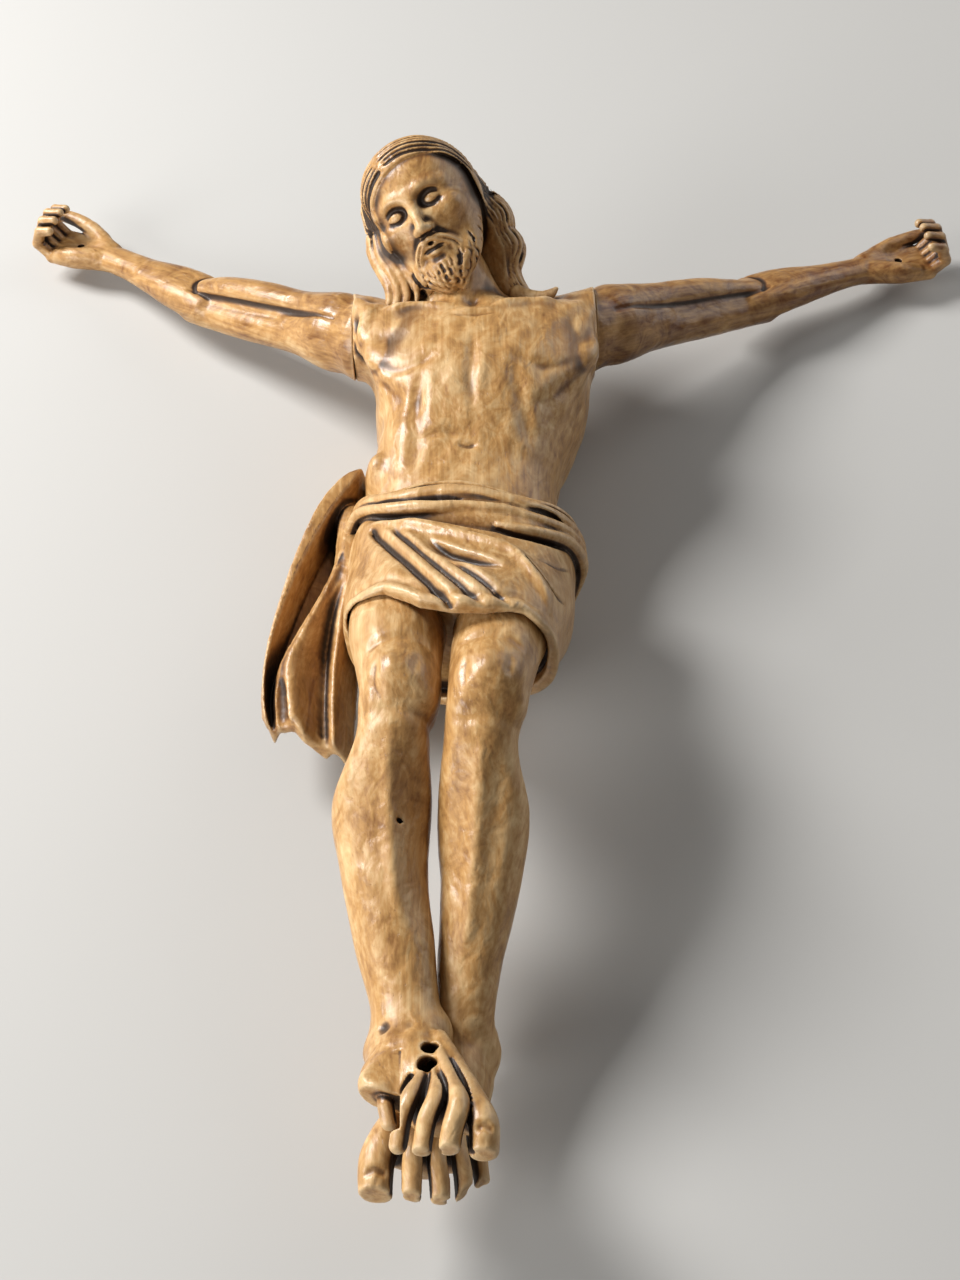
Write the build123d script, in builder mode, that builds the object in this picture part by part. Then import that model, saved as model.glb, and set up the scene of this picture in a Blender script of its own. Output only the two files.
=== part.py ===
"""Carved wooden crucifix figure: one block for head, trunk, loincloth and legs, two pegged-on arms and a
pegged-on hanging end of the loincloth.

The figure lies on its back. X runs to the figure's left, Y to its head and Z out of its chest. The origin is
the middle of the flat seat on its back, where it bears on a cross. All sizes are millimetres.
"""

import os
from math import copysign, cos, pi, sin

from build123d import *

# Shoulder joints: flat seams across the upper arms, each with one glued dowel
RIGHT_SEAM_X = -39.0
LEFT_SEAM_X = 50.0
SEAM_WIDTH = 33.0
SEAM_DEPTH = 31.0
SHOULDER_ROOT_SHARE = 0.6
SHOULDER_DOWEL_RADIUS = 4.0
SHOULDER_DOWEL_LENGTH = 26.0

# Hip joint of the hanging loincloth end: a flat on the right hip and two glued pegs
HIP_FLAT_X = -35.5
HIP_FLAT_LENGTH = 34.0
HIP_FLAT_Y = 15.0
HIP_FLAT_Z = 33.0
HIP_PEG_RADIUS = 1.5
HIP_PEG_LENGTH = 12.0
HIP_PEG_SPACING = 14.0

# Fits of the dowels and pegs in their sockets
GLUE_CLEARANCE = 0.05
GLUE_POCKET = 0.5
PEG_CHAMFER = 0.6

# Holes for the nails that fix hands and feet
PALM_NAIL_RADIUS = 1.4
FOOT_NAIL_RADIUS = 2.2
FOOT_NAIL_PLACE = (-9.0, -194.0)

# Arm landmarks, from the shoulder seam to the knuckles
RIGHT_SHOULDER = Vector(RIGHT_SEAM_X, 115.0, 40.0)
RIGHT_ELBOW = Vector(-102.0, 165.0, 18.0)
RIGHT_WRIST = Vector(-147.0, 206.0, 11.0)
RIGHT_KNUCKLES = Vector(-169.0, 215.5, 9.5)
LEFT_SHOULDER = Vector(LEFT_SEAM_X, 117.0, 40.0)
LEFT_ELBOW = Vector(116.0, 159.5, 17.5)
LEFT_WRIST = Vector(167.0, 187.0, 11.0)
LEFT_KNUCKLES = Vector(192.5, 193.0, 9.5)

# Arm sections: share of the bone, width across, thickness out of the cross
UPPER_ARM_SECTIONS = [(0.28, 26.0, 25.0), (0.52, 21.0, 22.0), (0.76, 19.0, 19.0)]
ELBOW_WIDTH = 23.5
ELBOW_THICKNESS = 17.5
FOREARM_SECTIONS = [(0.25, 21.0, 17.0), (0.5, 16.5, 14.5), (0.78, 13.0, 11.5)]
WRIST_WIDTH = 12.5
WRIST_THICKNESS = 10.0
WRIST_OVERLAP = 2.0

# Hand sizes: the palm faces out of the cross and the fingers curl back over it
PALM_WIDTH = 19.0
PALM_THICKNESS = 8.0
PALM_SECTIONS = [(0.35, 0.92, 1.1), (0.75, 1.0, 1.0), (1.0, 0.92, 0.8)]
NAIL_SHARE_OF_PALM = 0.5
FINGER_RADIUS = 2.3
FINGER_GAP = 0.3
FINGER_BONES = (9.0, 7.5, 5.5)
FINGER_BENDS = (45.0, 65.0, 55.0)
THUMB_RADIUS = 2.7
THUMB_JOINTS = [(0.3, 0.3, 0.0), (0.75, 0.65, 1.0), (1.2, 0.67, 2.0)]
BONE_TAPER = 0.92

# Trunk sections: height up the body, middle, width, back and front
TRUNK_SECTIONS = [
    (121.0, 7.0, 34.0, 20.0, 50.0),
    (112.0, 7.0, 66.0, 7.0, 57.0),
    (98.0, 7.5, 80.0, -3.0, 62.0),
    (82.0, 8.0, 76.5, -3.5, 64.0),
    (64.0, 6.0, 71.0, 0.5, 62.5),
    (48.0, 3.0, 67.0, 4.0, 58.0),
    (34.0, 1.5, 66.0, 5.0, 54.0),
    (14.0, 0.5, 68.0, 1.0, 52.0),
    (-16.0, -1.0, 66.0, 2.0, 50.0),
]
TRUNK_SQUARENESS = 2.5
CHEST_MUSCLES = [Vector(-14.0, 85.0, 55.5), Vector(29.0, 85.0, 55.5)]
CHEST_MUSCLE_RADII = (18.0, 15.0, 7.5)

# Loincloth sections: middle, width and depth, from the rolled waist to past the hem across the thighs
LOINCLOTH_SECTIONS = [
    (Vector(0.5, 24.0, 29.0), 66.0, 47.0),
    (Vector(0.5, 17.0, 28.5), 74.0, 56.0),
    (Vector(0.0, 7.0, 28.0), 76.0, 60.0),
    (Vector(-1.2, -12.0, 30.5), 75.0, 66.0),
    (Vector(-3.0, -34.0, 42.0), 71.0, 61.0),
    (Vector(-4.0, -53.0, 51.0), 66.0, 51.0),
    (Vector(-4.5, -70.0, 58.0), 62.0, 44.0),
]
LOINCLOTH_SQUARENESS = 2.7
HEM_MIDDLE = Vector(-4.0, -52.5, 50.0)
HEM_SLANT = 0.28

# Rolls round the waist and raised folds across the front: radius and run, sunk into the cloth at both ends
WAIST_ROLLS = [
    (
        3.8,
        [
            (-30.0, 16.0, 12.0),
            (-36.5, 17.5, 30.0),
            (-31.0, 17.0, 44.5),
            (-19.0, 11.5, 54.0),
            (-4.0, 10.5, 57.2),
            (9.5, 8.0, 57.2),
            (22.0, 6.0, 54.0),
            (32.5, 6.5, 46.5),
            (37.5, 7.0, 32.0),
            (32.0, 7.0, 12.0),
        ],
    ),
    (
        2.6,
        [
            (-31.0, 11.0, 12.0),
            (-37.5, 12.0, 30.0),
            (-33.5, 12.5, 45.0),
            (-22.0, 5.0, 55.5),
            (-5.0, 2.2, 59.2),
            (12.0, 0.8, 58.8),
            (25.0, -1.0, 54.0),
            (34.5, 0.0, 46.0),
            (38.5, 0.5, 32.0),
            (33.0, 0.5, 12.0),
        ],
    ),
]
FOLD_RIDGES = [
    (2.4, [(-27.0, 0.0, 53.0), (-21.0, -8.0, 60.5), (-10.0, -24.0, 66.5), (1.0, -40.0, 72.0), (11.0, -60.0, 71.0)]),
    (2.2, [(-26.0, -2.0, 52.0), (-18.0, -6.0, 59.5), (-6.0, -10.0, 62.0), (9.0, -16.0, 64.0), (21.0, -34.0, 60.0)]),
    (2.8, [(13.0, -22.0, 58.0), (19.0, -31.0, 66.0), (24.0, -41.0, 67.5), (29.0, -58.0, 58.0)]),
]

# Leg sections: centre, width and depth, from inside the loincloth to the ankle
RIGHT_LEG_SECTIONS = [
    (Vector(-19.0, -22.0, 42.0), 32.0, 34.0),
    (Vector(-20.5, -50.0, 54.0), 30.0, 32.0),
    (Vector(-19.5, -68.0, 60.5), 26.0, 27.0),
    (Vector(-18.8, -80.0, 61.0), 24.5, 25.0),
    (Vector(-21.0, -92.0, 56.0), 22.5, 22.5),
    (Vector(-24.3, -109.0, 46.0), 29.5, 26.0),
    (Vector(-23.8, -127.0, 41.0), 25.8, 23.0),
    (Vector(-20.8, -150.0, 37.0), 23.0, 19.5),
    (Vector(-17.8, -168.0, 33.5), 19.5, 17.5),
    (Vector(-16.5, -180.0, 31.0), 19.0, 18.5),
]
LEFT_LEG_SECTIONS = [
    (Vector(15.0, -22.0, 42.0), 32.0, 34.0),
    (Vector(11.5, -52.0, 56.0), 30.0, 32.0),
    (Vector(9.0, -70.0, 63.0), 26.5, 27.0),
    (Vector(7.2, -82.0, 63.0), 24.5, 25.0),
    (Vector(4.8, -94.0, 56.5), 22.0, 22.5),
    (Vector(5.2, -112.0, 44.5), 27.0, 26.0),
    (Vector(3.8, -133.0, 37.0), 23.0, 22.0),
    (Vector(0.5, -154.0, 30.5), 18.5, 18.0),
    (Vector(-1.0, -168.0, 26.0), 16.5, 16.5),
    (Vector(-2.0, -178.0, 22.0), 17.0, 17.5),
]
BELOW_KNEE = 4
KNEE_CAPS = [Vector(-19.5, -76.0, 64.5), Vector(8.0, -79.0, 67.0)]
KNEE_CAP_RADIUS = 8.3

# Feet: heel and ball of each foot, with the right foot lying on the left one
RIGHT_HEEL = RIGHT_LEG_SECTIONS[-1][0] + Vector(-1.0, 5.0, -7.0)
RIGHT_BALL = Vector(-10.0, -210.0, 46.5)
LEFT_HEEL = LEFT_LEG_SECTIONS[-1][0] + Vector(2.5, 8.0, -9.0)
LEFT_BALL = Vector(-13.0, -208.5, 23.0)
FOOT_SECTIONS = [
    (-0.06, 10.0, 12.0),
    (0.05, 18.0, 21.0),
    (0.4, 23.0, 21.0),
    (0.75, 28.0, 14.0),
    (1.0, 27.0, 9.5),
]
TOE_LENGTHS = (13.0, 12.5, 11.5, 10.0, 8.5)
TOE_RADII = (3.8, 2.6, 2.6, 2.5, 2.4)
TOE_GAP = 0.3
TOE_DROOP = 0.25
TOE_ROOT_DEPTH = 6.0

# Head: the middle of the skull, the line from chin to crown and the way the face looks
HEAD_MIDDLE = Vector(-12.0, 146.0, 73.0)
HEAD_UP = Vector(-0.454, 0.663, 0.596).normalized()
FACE_OUT = Vector(-0.23, -0.73, 0.64)
HEAD_SECTIONS = [
    (-27.0, 15.0, 16.0, 13.0),
    (-21.0, 25.0, 26.0, 9.0),
    (-13.0, 32.0, 34.0, 5.5),
    (-3.0, 36.0, 42.0, 2.0),
    (8.0, 38.0, 46.0, 0.0),
    (17.0, 35.0, 44.0, -1.5),
    (23.0, 24.0, 32.0, -3.0),
    (26.0, 8.0, 11.0, -4.0),
]
NOSE_BASE = -8.0
NOSE_LENGTH = 15.0
NOSE_WIDTH = 6.0
NOSE_DEPTH = 12.0
NOSE_TAPER = [(1.0, 0.5), (0.35, 0.8), (0.0, 1.0), (-0.12, 0.6)]
NOSE_ROOT = 18.5
NOSE_REACH = 3.0
BEARD_SECTIONS = [
    (-13.0, 30.0, 17.0, 10.0),
    (-22.0, 25.0, 18.0, 12.0),
    (-29.0, 17.0, 14.0, 13.0),
    (-34.0, 6.0, 6.0, 13.5),
]
HAIR_SECTIONS = [
    (-4.0, 40.0, 34.0, -8.0),
    (6.0, 43.0, 42.0, -5.5),
    (15.0, 40.0, 46.0, -3.5),
    (22.0, 31.0, 38.0, -4.0),
    (26.5, 18.0, 23.0, -4.5),
    (28.5, 7.0, 9.0, -5.0),
]
NECK_BASE = Vector(6.0, 100.0, 34.0)
NECK_BASE_WIDTH = 34.0
NECK_BASE_DEPTH = 31.0
NECK_TOP_WIDTH = 25.0
NECK_TOP_DEPTH = 27.0
NECK_TOP_DROP = 12.0
NECK_TOP_BACK = 3.0
LOCK_WIDTH = 13.0
LOCK_DEPTH = 13.0
NAPE_SECTIONS = [
    ((8.0, 8.0, -14.0), 40.0, 22.0),
    ((16.0, -12.0, -25.0), 50.0, 18.0),
    ((19.0, -27.0, -31.0), 52.0, 16.0),
]
RIGHT_LOCK_RUN = [(-19.5, 5.0, -4.0), (-16.0, -8.5, -13.0), (-11.5, -19.5, -16.0), (-12.5, -30.0, -20.0)]
LEFT_LOCK_RUN = [(12.0, 18.5, 6.0), (21.0, 9.0, -3.0), (27.5, 0.0, -10.5), (31.5, -14.0, -20.0), (37.0, -23.0, -24.5)]

# Hanging end of the loincloth: each section's drop from the hip joint, gap to its flat, width, fold and skew
CLOTH_THICKNESS = 7.0
CLOTH_LEAN = 0.06
FOLD_LINE = [(-1.0, 0.0), (-0.55, 1.0), (0.0, -0.6), (0.5, 0.9), (1.0, -0.3)]
CLOTH_SECTIONS = [
    (-20.0, 1.5, 7.0, 2.0, 0.0),
    (-2.0, 2.0, 12.0, 4.0, 0.0),
    (23.0, 5.5, 18.0, 6.5, 0.1),
    (51.0, 5.5, 25.0, 7.5, 0.3),
    (81.0, 2.0, 31.0, 8.0, 0.5),
]
CLOTH_BOSS_LENGTH = 25.0
CLOTH_BOSS_DEPTH = 15.0
CLOTH_BOSS_REACH = 9.0
CLOTH_BOSS_TAPER = 0.75
CLOTH_BOSS_SQUARENESS = 4.0

OUT = Vector(0, 0, 1)
HEAD_LEFT = HEAD_UP.cross(FACE_OUT).normalized()
FACE_FRONT = HEAD_LEFT.cross(HEAD_UP).normalized()
OVAL_POINTS = 12


def between(start, end, share):
    """The point at a share of the way from start to end."""
    return start + (end - start) * share


def oval(plane, width, depth, squareness=2.0):
    """A round-cornered oval face: 2 is an ellipse, larger values are squarer."""
    points = []
    for i in range(OVAL_POINTS):
        turn = 2 * pi * i / OVAL_POINTS
        x = copysign(abs(cos(turn)) ** (2 / squareness), cos(turn)) * width / 2
        y = copysign(abs(sin(turn)) ** (2 / squareness), sin(turn)) * depth / 2
        points.append((x, y))
    with BuildSketch(plane) as face:
        with BuildLine():
            Spline(*points, periodic=True)
        make_face()
    return face.sketch


def cross_planes(centres):
    """Planes square to the line through the centres, with their X lying flat."""
    planes = []
    for i, centre in enumerate(centres):
        before = centres[max(i - 1, 0)]
        after = centres[min(i + 1, len(centres) - 1)]
        run = (after - before).normalized()
        planes.append(Plane(centre, x_dir=run.cross(OUT), z_dir=run))
    return planes


def limb(sections, squareness=2.0, joint=None):
    """A loft through (centre, width, depth) sections along a limb, in two lofts that meet at its joint."""
    planes = cross_planes([section[0] for section in sections])
    faces = [oval(plane, width, depth, squareness) for plane, (_, width, depth) in zip(planes, sections)]
    if joint:
        loft(faces[: joint + 1])
        loft(faces[joint:])
    else:
        loft(faces)


def capsule(start, end, radius):
    """A round-ended rod between two joints."""
    run = end - start
    with BuildSketch(Plane(start, x_dir=run, z_dir=run.cross(OUT))) as half:
        with BuildLine():
            Line((-radius, 0), (run.length + radius, 0))
            RadiusArc((run.length + radius, 0), (run.length, radius), -radius)
            Line((run.length, radius), (0, radius))
            RadiusArc((0, radius), (-radius, 0), -radius)
        make_face()
    revolve(half.sketch, axis=Axis(start, run))


def rod(centres, radius):
    """A finger or toe along its joints, a little slimmer past each one."""
    for start, end in zip(centres, centres[1:]):
        capsule(start, end, radius)
        radius *= BONE_TAPER


def roll(radius, run):
    """A round roll of cloth along a smooth run of points."""
    with BuildLine() as path:
        Spline(*run)
    with BuildSketch(Plane(path.line @ 0, z_dir=path.line % 0)) as face:
        Circle(radius)
    sweep(face.sketch, path=path.line)


def head_plane(rise, forward):
    """A section plane across the head, at a height along its axis and set forward."""
    centre = HEAD_MIDDLE + HEAD_UP * rise + FACE_FRONT * forward
    return Plane(centre, x_dir=HEAD_LEFT, z_dir=HEAD_UP)


def head_form(sections):
    """A loft through (rise, width, depth, forward) sections of the head."""
    loft([oval(head_plane(rise, forward), width, depth) for rise, width, depth, forward in sections])


def seam_face(shoulder):
    """The flat oval of a shoulder seam, shared by the trunk and the arm."""
    return oval(Plane(shoulder, x_dir=(0, 1, 0), z_dir=(1, 0, 0)), SEAM_WIDTH, SEAM_DEPTH)


def dowel_plane(shoulder, elbow):
    """The middle of a shoulder dowel, leaning half way from the seam's normal to the arm."""
    outward = Vector(copysign(1, shoulder.X - NECK_BASE.X), 0, 0)
    lean = (outward + (elbow - shoulder).normalized()).normalized()
    return Plane(shoulder, z_dir=lean)


def hip_peg_planes():
    """The middles of the two hip pegs, on the hip flat."""
    planes = []
    for side in (1, -1):
        place = Vector(HIP_FLAT_X, HIP_FLAT_Y + side * HIP_PEG_SPACING / 2, HIP_FLAT_Z)
        planes.append(Plane(place, z_dir=(1, 0, 0)))
    return planes


def socket(plane, radius, length):
    """Cuts the glue socket of a dowel or peg centred on the plane."""
    with Locations(plane):
        Cylinder(radius + GLUE_CLEARANCE, length + 2 * GLUE_POCKET, mode=Mode.SUBTRACT)


def peg(plane, radius, length):
    """A round wooden peg with chamfered ends, centred on the plane."""
    with Locations(plane):
        rod_form = Cylinder(radius, length)
    chamfer(rod_form.edges().filter_by(GeomType.CIRCLE), PEG_CHAMFER)


def foot(heel, ball, big_toe_side):
    """A bare foot from heel to toe tips; the big toe lies on the given side of X."""
    planes = cross_planes([between(heel, ball, share) for share, _, _ in FOOT_SECTIONS])
    loft([oval(plane, width, depth) for plane, (_, width, depth) in zip(planes, FOOT_SECTIONS)])
    run = (ball - heel).normalized()
    across = run.cross(OUT).normalized()
    across = across * copysign(1, across.X) * big_toe_side
    place = sum(TOE_RADII) + TOE_GAP * (len(TOE_RADII) - 1) / 2
    for length, radius in zip(TOE_LENGTHS, TOE_RADII):
        root = ball + across * (place - radius) - run * TOE_ROOT_DEPTH
        place -= 2 * radius + TOE_GAP
        end = root + run * (TOE_ROOT_DEPTH + length - radius) - OUT * length * TOE_DROOP
        capsule(root, end, radius)


def hand(wrist, knuckles):
    """An open palm with four fingers curled back over it and the thumb along its upper edge."""
    run = (knuckles - wrist).normalized()
    across = OUT.cross(run).normalized()
    across = across * copysign(1, across.Y)
    lift = run.cross(across).normalized()
    lift = lift * copysign(1, lift.Z)
    palm = [(wrist - run * WRIST_OVERLAP, WRIST_WIDTH, WRIST_THICKNESS)]
    for share, wide, thick in PALM_SECTIONS:
        palm.append((between(wrist, knuckles, share), PALM_WIDTH * wide, PALM_THICKNESS * thick))
    limb(palm)
    pitch = 2 * FINGER_RADIUS + FINGER_GAP
    for place in (1.5, 0.5, -0.5, -1.5):
        point = knuckles + across * pitch * place - run * FINGER_RADIUS
        joints = [point]
        turned = 0.0
        for bone, bend in zip(FINGER_BONES, FINGER_BENDS):
            turned += bend * pi / 180
            point = point + (run * cos(turned) + lift * sin(turned)) * bone
            joints.append(point)
        rod(joints, FINGER_RADIUS)
    thumb = []
    for share, aside, rise in THUMB_JOINTS:
        thumb.append(between(wrist, knuckles, share) + across * PALM_WIDTH * aside + lift * THUMB_RADIUS * rise)
    rod(thumb, THUMB_RADIUS)


def arm(shoulder, elbow, wrist, knuckles):
    """A whole arm from its flat seam to the curled fingers, with its nail hole and dowel socket."""
    sections = [(between(shoulder, elbow, share), width, depth) for share, width, depth in UPPER_ARM_SECTIONS]
    sections.append((elbow, ELBOW_WIDTH, ELBOW_THICKNESS))
    sections += [(between(elbow, wrist, share), width, depth) for share, width, depth in FOREARM_SECTIONS]
    sections.append((wrist, WRIST_WIDTH, WRIST_THICKNESS))
    planes = cross_planes([section[0] for section in sections])
    faces = [oval(plane, width, depth) for plane, (_, width, depth) in zip(planes, sections)]
    bend = len(UPPER_ARM_SECTIONS)
    loft([seam_face(shoulder), faces[0]], ruled=True)
    loft(faces[: bend + 1])
    loft(faces[bend:])
    hand(wrist, knuckles)
    nail = between(wrist, knuckles, NAIL_SHARE_OF_PALM)
    with Locations(nail):
        Hole(PALM_NAIL_RADIUS)
    socket(dowel_plane(shoulder, elbow), SHOULDER_DOWEL_RADIUS, SHOULDER_DOWEL_LENGTH)


def cloth_section(drop, gap, width, fold, skew):
    """A folded strip of carved cloth: two rounded ridges with a valley between them."""
    half = width / 2
    middle = (HIP_FLAT_X - gap - half, HIP_FLAT_Y - drop, HIP_FLAT_Z + CLOTH_THICKNESS / 2 - drop * CLOTH_LEAN)
    top = [(half * across, fold * rise) for across, rise in FOLD_LINE]
    under = [(x, y - CLOTH_THICKNESS) for x, y in reversed(top)]
    with BuildSketch(Plane(middle, x_dir=(1, -skew, 0), z_dir=(-skew, -1, 0))) as face:
        with BuildLine():
            upper = Spline(*top)
            lower = Spline(*under)
            Line(upper @ 1, lower @ 0)
            Line(lower @ 1, upper @ 0)
        make_face()
    return face.sketch


# The hanging end of the loincloth, pegged on at the right hip
with BuildPart() as loincloth_end:
    loft([cloth_section(*section) for section in CLOTH_SECTIONS])
    boss = []
    for reach, share in ((0, 1), (CLOTH_BOSS_REACH, CLOTH_BOSS_TAPER)):
        plane = Plane((HIP_FLAT_X - reach, HIP_FLAT_Y, HIP_FLAT_Z), x_dir=(0, 1, 0), z_dir=(-1, 0, 0))
        boss.append(oval(plane, CLOTH_BOSS_LENGTH * share, CLOTH_BOSS_DEPTH * share, CLOTH_BOSS_SQUARENESS))
    loft(boss)
    for plane in hip_peg_planes():
        socket(plane, HIP_PEG_RADIUS, HIP_PEG_LENGTH)

# The wound loincloth, cut off along its hem
with BuildPart() as loincloth:
    limb(LOINCLOTH_SECTIONS, LOINCLOTH_SQUARENESS)
    for radius, run in WAIST_ROLLS + FOLD_RIDGES:
        roll(radius, run)
    split(bisect_by=Plane(HEM_MIDDLE, z_dir=(HEM_SLANT, 1, 0)), keep=Keep.TOP)

# The block: trunk, shoulders, neck, head, hair, loincloth, legs and feet
with BuildPart() as figure:
    trunk = []
    for rise, middle, width, back, front in TRUNK_SECTIONS:
        plane = Plane((middle, rise, (back + front) / 2), x_dir=(1, 0, 0), z_dir=(0, -1, 0))
        trunk.append(oval(plane, width, front - back, TRUNK_SQUARENESS))
    loft(trunk)
    for place in CHEST_MUSCLES:
        swell = scale(Sphere(1, mode=Mode.PRIVATE), by=CHEST_MUSCLE_RADII, mode=Mode.PRIVATE)
        add(Location(place) * swell)
    add(loincloth.part)
    limb(RIGHT_LEG_SECTIONS, joint=BELOW_KNEE)
    limb(LEFT_LEG_SECTIONS, joint=BELOW_KNEE)
    with Locations(*KNEE_CAPS):
        Sphere(KNEE_CAP_RADIUS)
    foot(LEFT_HEEL, LEFT_BALL, -1)
    foot(RIGHT_HEEL, RIGHT_BALL, 1)
    for shoulder in (RIGHT_SHOULDER, LEFT_SHOULDER):
        inner = between(shoulder, NECK_BASE, SHOULDER_ROOT_SHARE)
        loft([seam_face(inner), seam_face(shoulder)])
    neck_top = HEAD_MIDDLE - HEAD_UP * NECK_TOP_DROP - FACE_FRONT * NECK_TOP_BACK
    limb([(NECK_BASE, NECK_BASE_WIDTH, NECK_BASE_DEPTH), (neck_top, NECK_TOP_WIDTH, NECK_TOP_DEPTH)])
    head_form(HEAD_SECTIONS)
    head_form(BEARD_SECTIONS)
    nose = []
    for share, width in NOSE_TAPER:
        plane = head_plane(NOSE_BASE + NOSE_LENGTH * share, NOSE_ROOT + NOSE_REACH * (1 - share))
        nose.append(oval(plane, NOSE_WIDTH * width, NOSE_DEPTH * width))
    loft(nose)
    head_form(HAIR_SECTIONS)
    limb([(HEAD_MIDDLE + Vector(*step), width, depth) for step, width, depth in NAPE_SECTIONS])
    for lock in (RIGHT_LOCK_RUN, LEFT_LOCK_RUN):
        limb([(HEAD_MIDDLE + Vector(*step), LOCK_WIDTH, LOCK_DEPTH) for step in lock])
    split(bisect_by=Plane.XY, keep=Keep.TOP)
    with Locations((HIP_FLAT_X, HIP_FLAT_Y, HIP_FLAT_Z)):
        Box(
            HIP_FLAT_LENGTH,
            HIP_FLAT_LENGTH,
            HIP_FLAT_LENGTH,
            align=(Align.MAX, Align.CENTER, Align.CENTER),
            mode=Mode.SUBTRACT,
        )
    add(loincloth_end.part, mode=Mode.SUBTRACT)
    for plane in hip_peg_planes():
        socket(plane, HIP_PEG_RADIUS, HIP_PEG_LENGTH)
    socket(dowel_plane(RIGHT_SHOULDER, RIGHT_ELBOW), SHOULDER_DOWEL_RADIUS, SHOULDER_DOWEL_LENGTH)
    socket(dowel_plane(LEFT_SHOULDER, LEFT_ELBOW), SHOULDER_DOWEL_RADIUS, SHOULDER_DOWEL_LENGTH)
    with Locations(FOOT_NAIL_PLACE):
        Hole(FOOT_NAIL_RADIUS)

# The arms, pegged on at the shoulders
with BuildPart() as right_arm:
    arm(RIGHT_SHOULDER, RIGHT_ELBOW, RIGHT_WRIST, RIGHT_KNUCKLES)

with BuildPart() as left_arm:
    arm(LEFT_SHOULDER, LEFT_ELBOW, LEFT_WRIST, LEFT_KNUCKLES)

# The dowels inside the shoulders
with BuildPart() as right_shoulder_dowel:
    peg(dowel_plane(RIGHT_SHOULDER, RIGHT_ELBOW), SHOULDER_DOWEL_RADIUS, SHOULDER_DOWEL_LENGTH)

with BuildPart() as left_shoulder_dowel:
    peg(dowel_plane(LEFT_SHOULDER, LEFT_ELBOW), SHOULDER_DOWEL_RADIUS, SHOULDER_DOWEL_LENGTH)

# The two pegs inside the hip joint
upper_peg, lower_peg = hip_peg_planes()
with BuildPart() as upper_hip_peg:
    peg(upper_peg, HIP_PEG_RADIUS, HIP_PEG_LENGTH)

with BuildPart() as lower_hip_peg:
    peg(lower_peg, HIP_PEG_RADIUS, HIP_PEG_LENGTH)

os.makedirs("parts", exist_ok=True)
pieces = {
    "figure": figure,
    "right_arm": right_arm,
    "left_arm": left_arm,
    "right_shoulder_dowel": right_shoulder_dowel,
    "left_shoulder_dowel": left_shoulder_dowel,
    "loincloth_end": loincloth_end,
    "upper_hip_peg": upper_hip_peg,
    "lower_hip_peg": lower_hip_peg,
}
for name, piece in pieces.items():
    piece.part.label = name
    export_step(piece.part, f"parts/{name}.step")
    print(name, round(piece.part.volume), "mm3, valid", piece.part.is_valid)
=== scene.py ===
import math

import bpy
import numpy as np
import openvdb
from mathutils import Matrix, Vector


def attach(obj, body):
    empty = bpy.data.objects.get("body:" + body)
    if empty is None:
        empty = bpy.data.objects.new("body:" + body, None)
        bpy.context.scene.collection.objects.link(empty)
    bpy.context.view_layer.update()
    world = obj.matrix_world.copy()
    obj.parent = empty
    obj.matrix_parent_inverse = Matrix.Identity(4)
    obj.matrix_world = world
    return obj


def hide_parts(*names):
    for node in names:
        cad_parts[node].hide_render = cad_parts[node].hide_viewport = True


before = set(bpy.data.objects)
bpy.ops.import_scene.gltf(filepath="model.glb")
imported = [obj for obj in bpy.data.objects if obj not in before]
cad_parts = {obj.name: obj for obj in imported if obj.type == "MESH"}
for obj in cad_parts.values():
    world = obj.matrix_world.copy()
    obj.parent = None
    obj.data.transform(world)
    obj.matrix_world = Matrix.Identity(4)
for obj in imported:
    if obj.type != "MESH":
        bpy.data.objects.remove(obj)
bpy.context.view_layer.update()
print("frame loaded:", sorted(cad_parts))

# Every carving is modelled in millimetres as a block of distances to its surface, then meshed.
# Negative is wood, positive is air.
mm = 0.001
far = 6.0


def newBlock(low, high, cell):
    low = np.array(low, float)
    size = np.ceil((np.array(high, float) - low) / cell).astype(int) + 1
    return {"low": low, "cell": cell, "field": np.full(size, far, np.float32)}


def window(block, low, high):
    # the part of the block inside a box: its slices and its x, y and z
    shape = np.array(block["field"].shape)
    first = np.floor((np.array(low) - block["low"]) / block["cell"]).astype(int)
    last = np.ceil((np.array(high) - block["low"]) / block["cell"]).astype(int) + 1
    first = np.clip(first, 0, shape)
    last = np.clip(last, first, shape)
    cut = tuple(slice(a, b) for a, b in zip(first, last))
    axes = [block["low"][k] + block["cell"] * np.arange(first[k], last[k]) for k in range(3)]
    x = axes[0].astype(np.float32)[:, None, None]
    y = axes[1].astype(np.float32)[None, :, None]
    z = axes[2].astype(np.float32)[None, None, :]
    return cut, x, y, z


def whole(block):
    high = block["low"] + block["cell"] * (np.array(block["field"].shape) - 1)
    return window(block, block["low"], high)


def meet(a, b, blend):
    # union of two forms, rounded where they meet
    if blend <= 0:
        return np.minimum(a, b)
    near = np.maximum(blend - np.abs(a - b), 0) / blend
    return np.minimum(a, b) - near * near * blend * 0.25


def join(block, cut, dist, blend=0.0):
    block["field"][cut] = meet(block["field"][cut], dist, blend)


def cutAway(block, cut, dist, blend=0.0):
    block["field"][cut] = -meet(-block["field"][cut], dist, blend)


def ease(t):
    t = np.clip(t, 0, 1)
    return t * t * (3 - 2 * t)


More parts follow.
